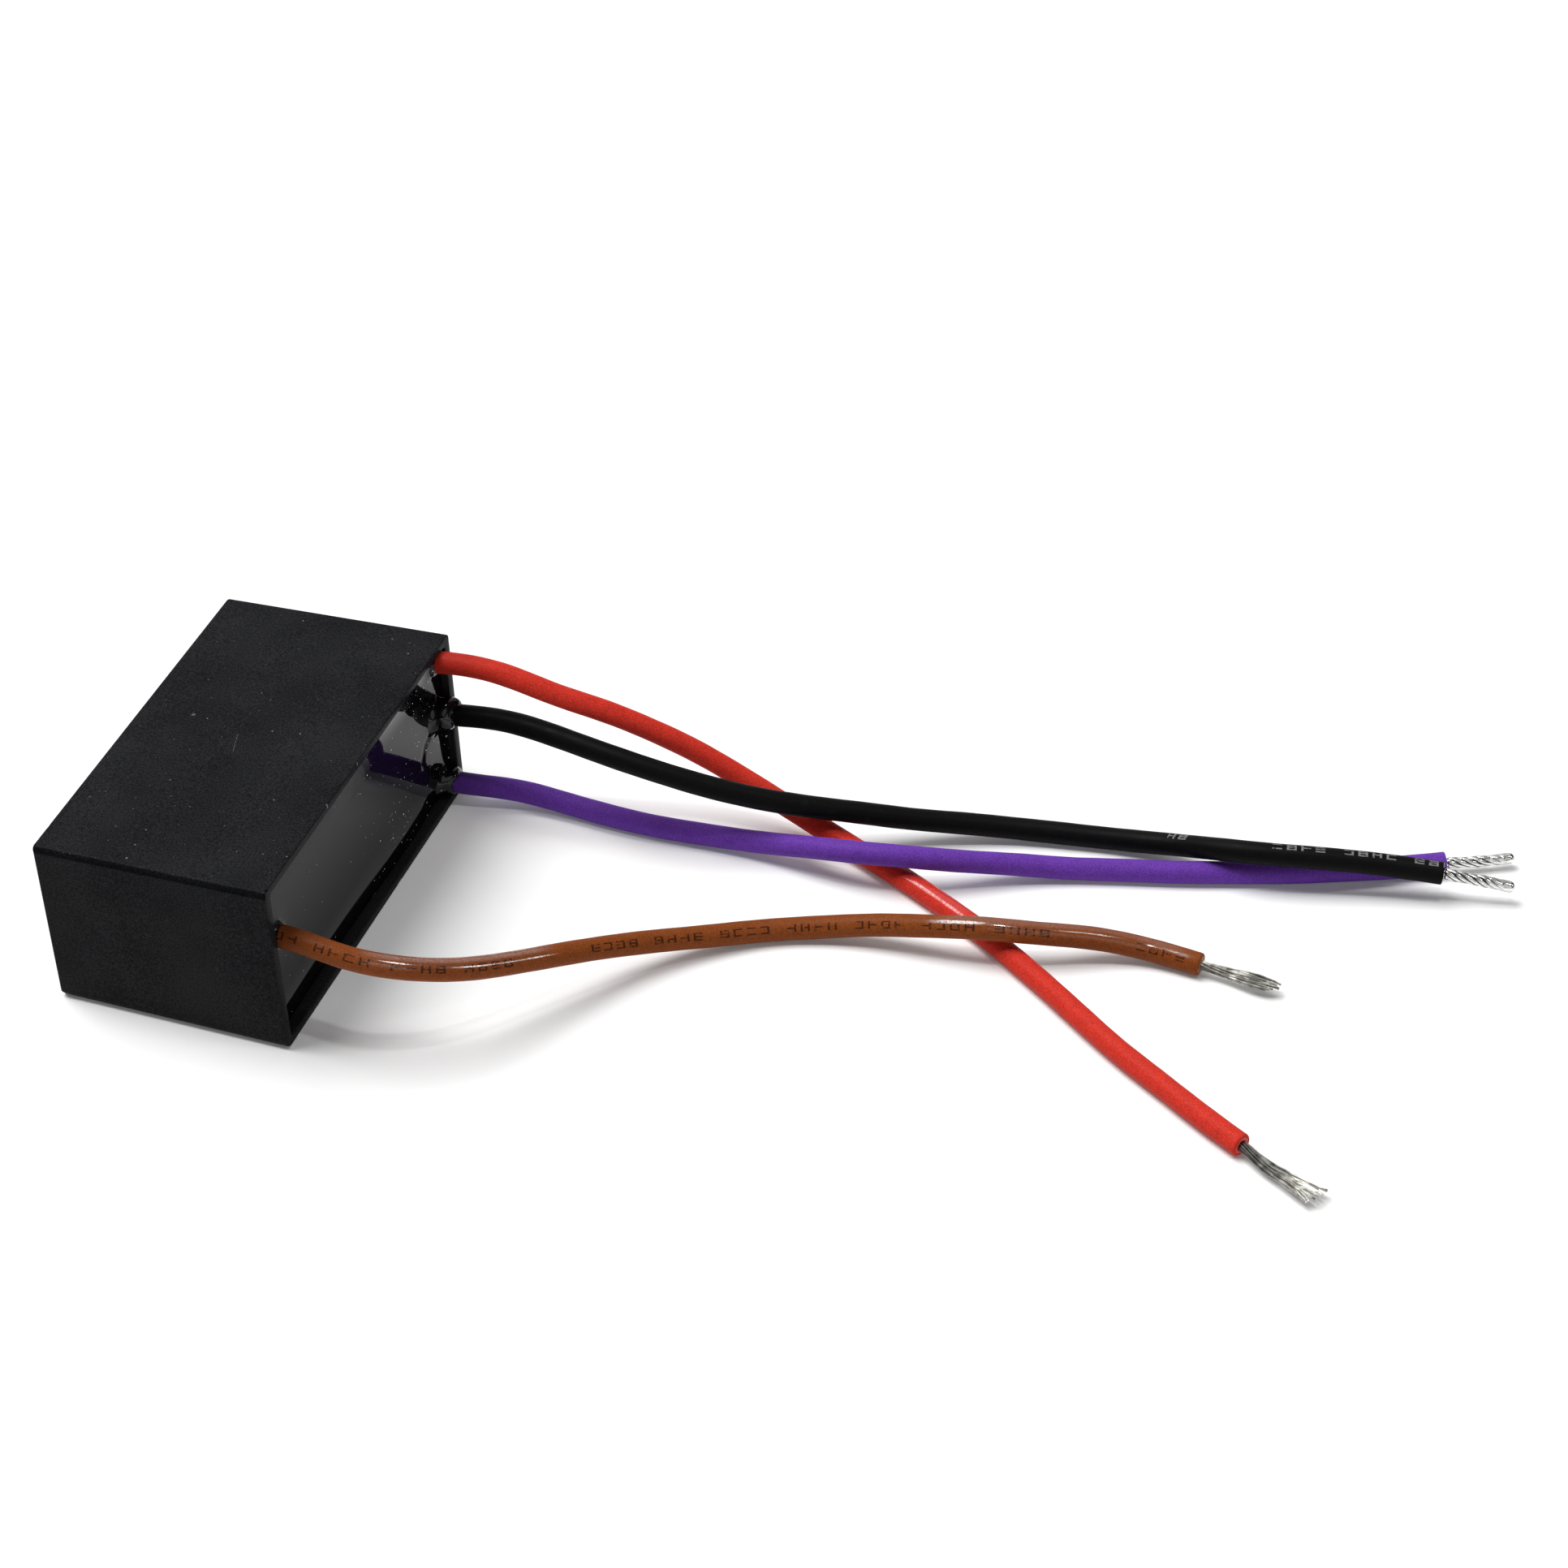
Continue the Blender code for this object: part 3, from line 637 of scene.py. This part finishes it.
def make_case_shell(material):
    rings = []
    for along, inset in quarter(FLOOR_EDGE_RADIUS, 5):
        rings.append(case_ring(CASE_LOW.x + along, inset, CORNER_RADIUS - inset))
    body = np.linspace(CASE_LOW.x + FLOOR_EDGE_RADIUS, RIM_X - RIM_EDGE_RADIUS, 9)
    rings += [case_ring(x, 0, CORNER_RADIUS) for x in body[1:]]
    for along, inset in list(quarter(RIM_EDGE_RADIUS, 4))[::-1][1:]:
        rings.append(case_ring(RIM_X - along, inset, CORNER_RADIUS - inset))
    lip = {"end_wall": END_WALL, "side_wall": SIDE_WALL}
    for along, inset in quarter(RIM_EDGE_RADIUS, 4):
        rings.append(case_ring(RIM_X - along, -inset, INNER_CORNER_RADIUS + inset, **lip))
    inner_floor = CASE_LOW.x + FLOOR_WALL
    for x in np.linspace(RIM_X - 2 * RIM_EDGE_RADIUS, inner_floor, 7):
        rings.append(case_ring(x, 0, INNER_CORNER_RADIUS, **lip))
    around = len(rings[0])
    verts = [v for ring in rings for v in ring]
    faces = [tuple(reversed(f)) for f in ring_faces(len(rings), around)]
    shell = link_mesh("case_shell", verts, faces, [material], 30)
    bm = bmesh.new()
    bm.from_mesh(shell.data)
    bmesh.ops.recalc_face_normals(bm, faces=bm.faces)
    bm.to_mesh(shell.data)
    bm.free()
    nick_edges(shell)
    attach(shell, BODY)
    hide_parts("case_tub")


# Knocks on the tub's edges: centre and the size of the chip, in millimetres.
NICKS = [
    ((-14.95, -21.6, 23.35), (0.35, 0.9, 0.3)),
    ((-14.95, -18.8, 23.35), (0.3, 0.55, 0.25)),
    ((11.0, -26.0, 23.9), (0.55, 0.22, 0.2)),
    ((-15.0, -25.65, 0.15), (0.75, 0.6, 0.75)),
    ((15.30, -26.15, -0.15), (0.85, 0.65, 0.80)),
    ((15.0, -25.2, 23.9), (0.25, 0.4, 0.2)),
    ((14.98, 6.0, 0.02), (0.2, 0.8, 0.2)),
    ((-14.9, 12.0, 0.15), (0.3, 0.7, 0.3)),
]


def nick_edges(shell):
    """Cuts a small rough chip out of an edge at each nick."""
    rng = np.random.default_rng(7)
    for centre, size in NICKS:
        bm = bmesh.new()
        bmesh.ops.create_icosphere(bm, subdivisions=2, radius=1)
        for v in bm.verts:
            v.co *= 1 + 0.18 * (rng.random() - 0.5)
        bmesh.ops.scale(bm, vec=[s * MM for s in size], verts=bm.verts)
        bmesh.ops.translate(bm, vec=[c * MM for c in centre], verts=bm.verts)
        mesh = bpy.data.meshes.new("nick")
        bm.to_mesh(mesh)
        bm.free()
        cutter = bpy.data.objects.new("nick", mesh)
        bpy.context.scene.collection.objects.link(cutter)
        modifier = shell.modifiers.new("nick", "BOOLEAN")
        modifier.operation = "DIFFERENCE"
        modifier.solver = "EXACT"
        modifier.object = cutter
        cut = bpy.data.meshes.new_from_object(
            shell.evaluated_get(bpy.context.evaluated_depsgraph_get()))
        shell.modifiers.clear()
        shell.data = cut
        bpy.data.objects.remove(cutter)
    shell.data.shade_smooth()
    shell.data.set_sharp_from_angle(angle=math.radians(30))


# ---------------------------------------- resin

RESIN_GRID = 0.27 * MM
WALL_OVERLAP = 0.05 * MM
# In millimetres from here to the wrinkle: how wide and how high the resin climbs each wall and
# each lead.
MENISCI = {"near_end": (0.9, 0.22), "far_end": (0.9, 0.22), "low": (0.5, 0.12),
           "high": (4.2, 0.55)}
FOOT_WIDTH = 0.75
FOOT_HEIGHT = 0.42
# The resin shrank away from the lower wall: how deep, along Y, and how far up it is felt.
SHRINKAGE = [(-24.6, 0.40), (-22, 0.52), (-15, 0.64), (-12, 0.66), (-6, 0.60), (0, 0.46),
             (6, 0.26), (12, 0.20), (16.3, 0.26), (18.5, 0.50), (24.6, 0.50)]
SHRINKAGE_REACH = 5.6
# A sunken wrinkle between the feet of the black and the purple lead, as (y, z).
WRINKLE = [(23.2, 11.7), (22.0, 12.0), (20.4, 12.1), (18.8, 11.5), (17.9, 10.1), (17.5, 9.1)]
WRINKLE_HEIGHT = -0.20
WRINKLE_WIDTH = 0.36


def cavity():
    """The tub's inner outline at the resin's level: half length in Y, then low and high in Z."""
    lean = DRAFT * (RIM_X - RESIN_X) / CASE_DEPTH
    return (CASE_HIGH.y - lean - END_WALL + WALL_OVERLAP, SIDE_WALL - WALL_OVERLAP,
            CASE_HIGH.z - 2 * lean - SIDE_WALL + WALL_OVERLAP)


def distance_to_line(y, z, line):
    best = np.full(y.shape, 1e9)
    for (y0, z0), (y1, z1) in zip(line, line[1:]):
        dy, dz = y1 - y0, z1 - z0
        share = np.clip(((y - y0) * dy + (z - z0) * dz) / (dy * dy + dz * dz), 0, 1)
        best = np.minimum(best, np.hypot(y - y0 - share * dy, z - z0 - share * dz))
    return best


def resin_level(y, z):
    """X of the poured surface, in metres, over arrays of y and z in metres."""
    half, low, high = (v / MM for v in cavity())
    y, z = y / MM, z / MM
    rise = np.zeros(y.shape)
    sides = {"near_end": y + half, "far_end": half - y, "low": z - low, "high": high - z}
    for side, (width, height) in MENISCI.items():
        rise += height * np.clip(1 - sides[side] / width, 0, 1) ** 2
    along = [p[0] for p in SHRINKAGE]
    deep = np.interp(y, along, [p[1] for p in SHRINKAGE])
    rise -= deep * np.clip(1 - (z - low) / SHRINKAGE_REACH, 0, 1) ** 2
    for route in ROUTES.values():
        away = np.hypot(y - route[0][1] / MM, z - route[0][2] / MM) - LEAD_RADIUS / MM
        rise += FOOT_HEIGHT * np.exp(-np.clip(away, 0, None) / FOOT_WIDTH)
    away = distance_to_line(y, z, WRINKLE)
    rise += WRINKLE_HEIGHT * np.exp(-(away / WRINKLE_WIDTH) ** 2)
    return RESIN_X + np.minimum(rise, 0.95) * MM


def make_resin_block(material):
    """The whole poured block: an uneven free surface, and plain sides down to the tub's floor."""
    half, low, high = cavity()
    ys = np.linspace(-half, half, round(2 * half / RESIN_GRID) + 1)
    zs = np.linspace(low, high, round((high - low) / RESIN_GRID) + 1)
    grid_y, grid_z = np.meshgrid(ys, zs, indexing="ij")
    xs = resin_level(grid_y, grid_z)
    rows, columns = xs.shape
    verts = list(zip(xs.ravel(), grid_y.ravel(), grid_z.ravel()))
    faces = []
    for i in range(rows - 1):
        for j in range(columns - 1):
            a = i * columns + j
            faces.append((a, a + columns, a + columns + 1, a + 1))
    border = [i * columns for i in range(rows)]
    border += [(rows - 1) * columns + j for j in range(1, columns)]
    border += [i * columns + columns - 1 for i in range(rows - 2, -1, -1)]
    border += list(range(columns - 2, 0, -1))
    start = len(verts)
    for index in border:
        _, y, z = verts[index]
        verts.append((POTTING_LOW.x, y, z))
    count = len(border)
    for k in range(count):
        m = (k + 1) % count
        faces.append((border[m], border[k], start + k, start + m))
    faces.append(tuple(start + k for k in reversed(range(count))))
    block = link_mesh("resin_block", verts, faces, [material], 60)
    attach(block, BODY)
    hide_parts("potting_compound")


# How each lead's collar of resin is shaped, in millimetres: how far it creeps along the lead,
# how thick it is, the flare at its foot, and which way its thick side lies (degrees).
COLLARS = {
    "red": {"length": 0.9, "thick": 0.35, "flare": 0.6, "side": 150},
    "black": {"length": 2.9, "thick": 0.92, "flare": 0.9, "side": 120},
    "purple": {"length": 2.0, "thick": 0.50, "flare": 0.8, "side": 60},
    "brown": {"length": 1.0, "thick": 0.40, "flare": 0.6, "side": 200},
}
COLLAR_RINGS = 26
COLLAR_AROUND = 48
COLLAR_STEP = 0.1 * MM
COLLAR_SUNK = 0.15  # how far a collar starts inside the resin, in millimetres
COLLAR_TUCKED = 0.04  # and how far it reaches into its jacket


def make_collar(colour, material, length, thick, flare, side):
    """The lump of resin drawn up round a lead where it leaves the pour."""
    half, low, high = cavity()
    line = smooth_route(ROUTES[colour], COLLAR_STEP)
    at = lengths_along(line)
    first, second = cross_frames(line, (0.0, 1.0, 0.0))
    face = at[int(np.argmin(np.abs(line[:, 0] - RESIN_X)))]
    heavy = math.radians(side)
    verts = []
    for k in range(COLLAR_RINGS):
        u = k / (COLLAR_RINGS - 1)
        u = u * (2 - u)
        for m in range(COLLAR_AROUND):
            angle = 2 * math.pi * m / COLLAR_AROUND
            lump = 1 + 0.30 * math.cos(angle - heavy) + 0.12 * math.cos(2 * angle + 3 * u)
            reach = length * (1 + 0.14 * math.cos(angle - heavy + 0.7)
                              + 0.06 * math.cos(3 * angle + heavy))
            cover = thick * lump * math.sqrt(max(0.0, 1 - u ** 3.2))
            cover *= 1 - 0.16 * math.sin(2 * math.pi * u) * math.cos(angle - heavy)
            cover += flare * math.exp(-u * length / 0.42)
            radius = LEAD_RADIUS + (cover - COLLAR_TUCKED) * MM
            place = face + (u * reach - COLLAR_SUNK) * MM
            i = min(int(place / COLLAR_STEP), len(line) - 1)
            point = line[i] + radius * (math.cos(angle) * first[i]
                                        + math.sin(angle) * second[i])
            point[1] = min(max(point[1], -half), half)
            point[2] = min(max(point[2], low), high)
            verts.append(point)
    collar = link_mesh("resin_collar_" + colour, verts,
                       ring_faces(COLLAR_RINGS, COLLAR_AROUND), [material], 70)
    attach(collar, BODY)


# ---------------------------------------- leads

PRINT_FACES = (0.25, -0.69, 0.68)  # which way the middle of the printed side looks
AROUND = 28


def make_jacket(colour, outside, painted_pale_cut_face, edge):
    """A jacket as a closed tube whose far end is cut square and hollow for the conductor."""
    line = smooth_route(ROUTES[colour], RING_STEP)
    along = lengths_along(line)
    first, second = cross_frames(line, PRINT_FACES)
    ahead = directions(line)
    rng = np.random.default_rng(11 + len(colour))
    waves = rng.random((3, 3))
    rings = []
    for i in range(len(line)):
        swell = 1 + 0.006 * math.sin(2 * math.pi * (along[i] / (11 * MM) + waves[0, 0]))
        swell += 0.004 * math.sin(2 * math.pi * (along[i] / (4.3 * MM) + waves[1, 0]))
        rings.append((line[i], LEAD_RADIUS * swell, i))
    last = len(line) - 1
    end, forward = line[last], ahead[last]
    rings.pop()
    for along_edge, inset in list(quarter(edge, 4))[::-1]:
        rings.append((end - forward * along_edge, LEAD_RADIUS - inset, last))
    outer_rings = len(rings)
    # The cut face and the bore behind it: radius and how far back, in millimetres.
    for radius, back in ((1.05, 0.02), (0.72, 0.0), (0.64, 0.05), (0.61, 0.5), (0.60, 2.5)):
        rings.append((end - forward * back * MM, radius * MM, last))
    tilt = 0.10 * (rng.random(2) - 0.5)
    verts, uvs = [], []
    travelled = 0.0
    for k, (centre, radius, i) in enumerate(rings):
        if k:
            travelled += float(np.linalg.norm(centre - rings[k - 1][0]))
        uvs.append(travelled)
        lean = tilt if i == last else (0.0, 0.0)
        for m in range(AROUND):
            angle = 2 * math.pi * m / AROUND
            offset = math.cos(angle) * first[i] + math.sin(angle) * second[i]
            slant = forward * radius * (lean[0] * math.cos(angle) + lean[1] * math.sin(angle))
            verts.append(centre + radius * offset + slant)
    faces = ring_faces(len(rings), AROUND)
    jacket = link_mesh(colour + "_jacket", verts, faces, [outside, painted_pale_cut_face], 50)
    mark_faces(jacket, 1, outer_rings * AROUND, (len(rings) - outer_rings) * AROUND)
    layer = jacket.data.uv_layers.new(name="along")
    for polygon in jacket.data.polygons:
        ring, m = divmod(polygon.index, AROUND)
        if ring >= len(rings) - 1:
            continue
        half_turn = 0.5 if m < AROUND // 2 else -0.5
        for loop in polygon.loop_indices:
            k, place = divmod(jacket.data.loops[loop].vertex_index, AROUND)
            turn = m if place == m else m + 1
            layer.data[loop].uv = (uvs[k], turn / AROUND + half_turn)
    return jacket, line


# ---------------------------------------- stripped ends

def strand_places():
    """Where sixteen strands sit in a round bundle, as radius and angle."""
    places = [(0.0, 0.0)]
    places += [(0.27 * MM, 2 * math.pi * k / 5) for k in range(5)]
    places += [(0.50 * MM, 2 * math.pi * (k + 0.3) / 10) for k in range(10)]
    return places


def bare_line(colour, step):
    """The middle of a stripped end, from inside the jacket's bore to its tip."""
    route = smooth_route(ROUTES[colour], RING_STEP)
    stops = [tuple(route[-5]), tuple(route[-1])] + BARE_STOPS[colour]
    return smooth_route(stops, step)


STRAND_SIDES = 7


def add_strand(verts, faces, path, radius):
    """Adds one round strand along the path, closed at both ends."""
    first, second = cross_frames(path, (0.2, 0.3, 1.0))
    start = len(verts)
    for i, point in enumerate(path):
        for k in range(STRAND_SIDES):
            angle = 2 * math.pi * k / STRAND_SIDES
            verts.append(point + radius * (math.cos(angle) * first[i]
                                           + math.sin(angle) * second[i]))
    for face in ring_faces(len(path), STRAND_SIDES):
        faces.append(tuple(start + v for v in face))


def set_tone(item, values):
    """Stores how bright each vertex's metal is, from 0 to 1."""
    layer = item.data.attributes.new("tone", "FLOAT", "POINT")
    layer.data.foreach_set("value", np.clip(np.array(values, dtype=np.float32), 0, 1))


def make_loose_end(colour, material, lay, widths, tones_with_painted_light, gather, lift, ragged, seed):
    """Loose tinned strands: twisted at the jacket, then opening into tufts side by side.

    widths lists how wide the bundle is at shares of its way, as (share, half width), and
    tones_with_painted_light
    how bright it is painted there: tarnish and painted shade near the red jacket, painted
    highlights on the brown strands. gather is how far the strands draw together in threes, lift
    how far they stray up and down, and ragged how much their lengths differ.
    """
    line = bare_line(colour, 0.2 * MM)
    along = lengths_along(line)
    share = np.clip((along / along[-1] - 0.20) / 0.80, 0, 1)
    first, second = cross_frames(line, (0.0, 0.0, 1.0))
    half = np.interp(share, [w[0] for w in widths], [w[1] * MM for w in widths])
    rng = np.random.default_rng(seed)
    places = strand_places()
    middle = (len(places) - 1) / 2
    order = sorted(range(len(places)), key=lambda i: places[i][0] * math.sin(places[i][1] + 0.4))
    verts, faces, tone = [], [], []
    for rank, number in enumerate(order):
        radius, angle = places[number]
        slot = (rank - middle) / middle
        slot += gather * share * ((rank // 3 - 2.5) / 2.6 - slot)
        layer = 0.5 if rank % 2 else -0.5
        drift = rng.normal(0, 0.10, 3)
        turn = angle + 2 * math.pi * along / lay
        round_across, round_up = radius * np.sin(turn), radius * np.cos(turn)
        wave = np.sin(2 * math.pi * (share * 1.1 + drift[2] * 3)) * 0.09
        flat_across = (half - STRAND_RADIUS) * (slot + wave + drift[0] * share)
        flat_up = (layer * 0.30 + lift * drift[1] * share) * MM
        blend = share ** 0.7
        across = round_across * (1 - blend) + flat_across * blend
        up = round_up * (1 - blend) + flat_up * blend
        path = line + first * up[:, None] + second * across[:, None]
        path[:, 2] = np.maximum(path[:, 2], STRAND_RADIUS + 0.02 * MM)
        kept = along <= along[-1] - rng.random() * ragged
        add_strand(verts, faces, path[kept], LOOSE_STRAND_RADIUS)
        # Painted light: each strand's tone follows its table, with tarnish and painted shade near
        # the red jacket and painted highlights on the brown.
        bright = np.interp(share[kept], [t[0] for t in tones_with_painted_light], [t[1] for t in tones_with_painted_light])
        tone += list(np.repeat(bright * (1 + rng.normal(0, 0.16)), STRAND_SIDES))
    bare = link_mesh(colour + "_strands", verts, faces, [material], 50)
    set_tone(bare, tone)
    return bare


BORE_FIT = 0.57 * MM  # how thick a dipped end may be inside its jacket
DIPPED_AROUND = 90
DIPPED_LOBES = 6


def make_dipped_end(colour, material, lay, radius):
    """A twisted, solder-dipped conductor: fused strands with a rounded tip."""
    line = bare_line(colour, 0.1 * MM)
    along = lengths_along(line)
    total = along[-1]
    first, second = cross_frames(line, (0.0, 0.0, 1.0))
    rng = np.random.default_rng(3 + len(colour))
    bulges = [(rng.random() * 2 * math.pi, (2 + 2 * rng.random()) * MM) for _ in range(3)]
    stops = np.array([ROUTES[colour][-1]] + BARE_STOPS[colour])
    inside = total - lengths_along(stops)[-1]
    verts, tone = [], []
    for i, point in enumerate(line):
        left = total - along[i]
        taper = math.sqrt(max(0.0, 1 - (1 - min(1.0, left / radius)) ** 2))
        if along[i] < inside + 0.3 * MM:
            taper = min(taper, BORE_FIT / radius)
        swell = 1 + sum(0.02 * math.sin(phase + 2 * math.pi * along[i] / wave)
                        for phase, wave in bulges)
        filled = min(1.0, max(0.0, (left - 0.8 * MM) / (3.2 * MM)))
        depth = 0.03 + 0.22 * filled
        for k in range(DIPPED_AROUND):
            angle = 2 * math.pi * k / DIPPED_AROUND
            turn = DIPPED_LOBES * (angle / (2 * math.pi) - along[i] / lay)
            crest = math.sqrt(1 - (0.95 * (2 * (turn % 1.0) - 1)) ** 2)
            r = max(radius * taper, 0.02 * MM) * swell * (1 - depth * (1 - crest))
            verts.append(point + r * (math.cos(angle) * first[i] + math.sin(angle) * second[i]))
            # Painted shade: the tone falls to dark in the grooves between the strands.
            tone.append(1 - filled * min(1.0, max(0.0, (0.84 - crest) / 0.24)))
    bare = link_mesh(colour + "_dipped_strands", verts, ring_faces(len(line), DIPPED_AROUND),
                     [material], 60)
    set_tone(bare, tone)
    return bare


# ---------------------------------------- assembly

JACKETS = {
    "red": {"colour": (0.555, 0.033, 0.020, 1), "roughness": 0.44,
            "shiny": [(0.0715, 0.0825, 0.8)]},
    "black": {"colour": (0.0040, 0.0040, 0.0043, 1), "roughness": 0.46,
              "ink": grey(0.20), "ink_side": 0.37, "ink_from": 0.099},
    "purple": {"colour": (0.128, 0.040, 0.335, 1), "roughness": 0.46},
    "brown": {"colour": (0.205, 0.052, 0.012, 1), "roughness": 0.40,
              "ink": (0.022, 0.008, 0.005, 1), "gloss": 2.6,
              "shiny": [(0.0165, 0.0385, 1.0), (0.089, 0.118, 0.50)]},
}
# The tone tables paint tarnish and painted shade near the red jacket, and painted highlights as
# pale spots along the brown strands.
LOOSE = {
    "red": {"lay": 26 * MM, "ragged": 1.1 * MM, "seed": 5, "gather": 0.25, "lift": 1.1,
            "widths": [(0, 0.62), (0.25, 1.00), (0.5, 1.40), (0.75, 1.65), (1, 1.85)],
            "tones_with_painted_light": [(0, 0.16), (0.12, 0.22), (0.45, 0.34), (0.62, 0.95), (1, 1.0)]},
    "brown": {"lay": 20 * MM, "ragged": 2.0 * MM, "seed": 9, "gather": 0.35, "lift": 1.2,
              "widths": [(0, 0.60), (0.2, 0.90), (0.45, 1.45), (0.7, 1.40), (0.9, 1.05),
                         (1, 0.7)],
              "tones_with_painted_light": [(0, 1.0), (0.14, 0.85), (0.34, 1.0), (0.46, 1.0), (0.6, 0.60),
                        (0.8, 0.60), (0.92, 1.0), (1, 1.0)]},
}
DIPPED = {"black": 0.72 * MM, "purple": 0.68 * MM}
DIPPED_LAY = 7.2 * MM
# How far the far edge of each jacket is rounded.
CUT_EDGES = {"red": 0.30 * MM, "black": 0.13 * MM, "purple": 0.13 * MM, "brown": 0.30 * MM}


def make_lead(colour, strands, solder):
    look = JACKETS[colour]
    outside = pvc(colour + "_pvc", **look)
    painted_pale_cut_face = painted_pale_cut_pvc(colour + "_pvc_cut", look["colour"])
    jacket, line = make_jacket(colour, outside, painted_pale_cut_face, CUT_EDGES[colour])
    if colour in LOOSE:
        bare = make_loose_end(colour, strands, **LOOSE[colour])
    else:
        bare = make_dipped_end(colour, solder, DIPPED_LAY, DIPPED[colour])
    for piece, node, slot in ((jacket, "_lead", colour + "_pvc"),
                              (bare, "_bare_end", "tinned_copper")):
        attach(piece, BODY)
        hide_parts(colour + node)


def dress_inner_nodes(strands):
    """Gives every CAD node that stays its own procedural material."""
    film, wrap, zinc, solder = wound_film(), clear_wrap(), sprayed_zinc(), set_solder()
    looks = (("film_winding", film), ("outer_film_wrap", wrap), ("end_spray", zinc),
             ("solder_joint", solder), ("common_bus_wire", strands), ("conductor_tail", strands))
    for name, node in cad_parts.items():
        for part, material in looks:
            if part in name:
                node.data.materials.clear()
                node.data.materials.append(material)


def make_object():
    make_case_shell(case_plastic())
    make_resin_block(poured_resin("potting_resin", FLAT_RESIN_IOR))
    resin = poured_resin("potting_resin_drawn_up", DRAWN_RESIN_IOR)
    for colour, shape in COLLARS.items():
        make_collar(colour, resin, **shape)
    strands, solder = tinned_strands("tinned_strands", toned_with_painted_light=True), solder_coated()
    for colour in ROUTES:
        make_lead(colour, strands, solder)
    dress_inner_nodes(tinned_strands("tinned_wire"))


# ---------------------------------------- stage, light, camera

def make_floor():
    n = Nodes("white_card", grey(0.86), 0.9)
    n.set("Specular IOR Level", 0.2)
    n.vary_colour(n.noise(300, 2), grey(0.85), grey(0.87))
    n.set("Emission Color", grey(1.0))
    n.set("Emission Strength", 0.05)
    side = 6.0
    verts = [(-side, -side, 0), (side, -side, 0), (side, side, 0), (-side, side, 0)]
    floor = link_mesh("floor", verts, [(0, 1, 2, 3)], [n.material])


def add_sun(name, azimuth, elevation, strength, width):
    """A distant soft light; azimuth is where it stands, anticlockwise from +X, in degrees."""
    sun = bpy.data.lights.new(name, "SUN")
    sun.energy = strength
    sun.angle = math.radians(width)
    item = bpy.data.objects.new(name, sun)
    bpy.context.scene.collection.objects.link(item)
    a, e = math.radians(azimuth), math.radians(elevation)
    stands = Vector((math.cos(e) * math.cos(a), math.cos(e) * math.sin(a), math.sin(e)))
    item.rotation_mode = "QUATERNION"
    item.rotation_quaternion = stands.to_track_quat("Z", "Y")


# Each light's azimuth and elevation in degrees, its strength, and its width in degrees.
SUNS = {
    "key_from_the_left": (181, 65, 2.80, 35),
    "overhead": (293, 83, 0.36, 3),
    "high_right": (6, 62, 0.22, 9),
    "low_right": (9, 34, 0.18, 9),
}
# Cards round the dim studio: which way each lies, the cosines where it starts and where it is
# whole, and how bright it is before and after.
CARDS = [
    ((-0.45, 0.62, 0.64), 0.55, 0.95, 0.04, 0.72),  # broad and dim, behind and to the left
    ((0.45, -0.74, 0.50), 0.88, 0.94, 0.0, 0.7),  # smaller and bright, in front
]


def make_light():
    for name, settings in SUNS.items():
        add_sun(name, *settings)
    world = bpy.data.worlds.new("dim_studio")
    world.use_nodes = True
    n = Tree(world.node_tree, "Generated")
    glow = []
    for direction, starts, whole, before, after in CARDS:
        towards = n.add("ShaderNodeVectorMath", operation="DOT_PRODUCT")
        towards.inputs[1].default_value = direction
        n.join(n.place, towards, 0)
        glow.append(n.spread(towards.outputs["Value"], starts, whole, before, after))
    background = n.tree.nodes["Background"]
    background.inputs["Color"].default_value = grey(1.0)
    n.join(n.maths("ADD", *glow), background, "Strength")
    bpy.context.scene.world = world


CAMERA_PLACE = (0.18548, -0.30544, 0.29560)
CAMERA_AZIMUTH = 20.98
CAMERA_ELEVATION = 38.76
CAMERA_ROLL = -2.22
CAMERA_LENS = 85.72


def make_camera():
    camera = bpy.data.cameras.new("camera")
    camera.sensor_width = 36
    camera.lens = CAMERA_LENS
    camera.clip_start = 0.01
    camera.clip_end = 50
    item = bpy.data.objects.new("camera", camera)
    bpy.context.scene.collection.objects.link(item)
    pitch = math.radians(90 - CAMERA_ELEVATION)
    turn = Euler((pitch, 0, math.radians(CAMERA_AZIMUTH))).to_matrix().to_4x4()
    roll = Matrix.Rotation(math.radians(CAMERA_ROLL), 4, "Z")
    item.matrix_world = Matrix.Translation(CAMERA_PLACE) @ turn @ roll
    bpy.context.scene.camera = item


make_camera()
make_object()
make_floor()
make_light()
bpy.context.scene.view_settings.view_transform = "Standard"

bpy.context.view_layer.update()
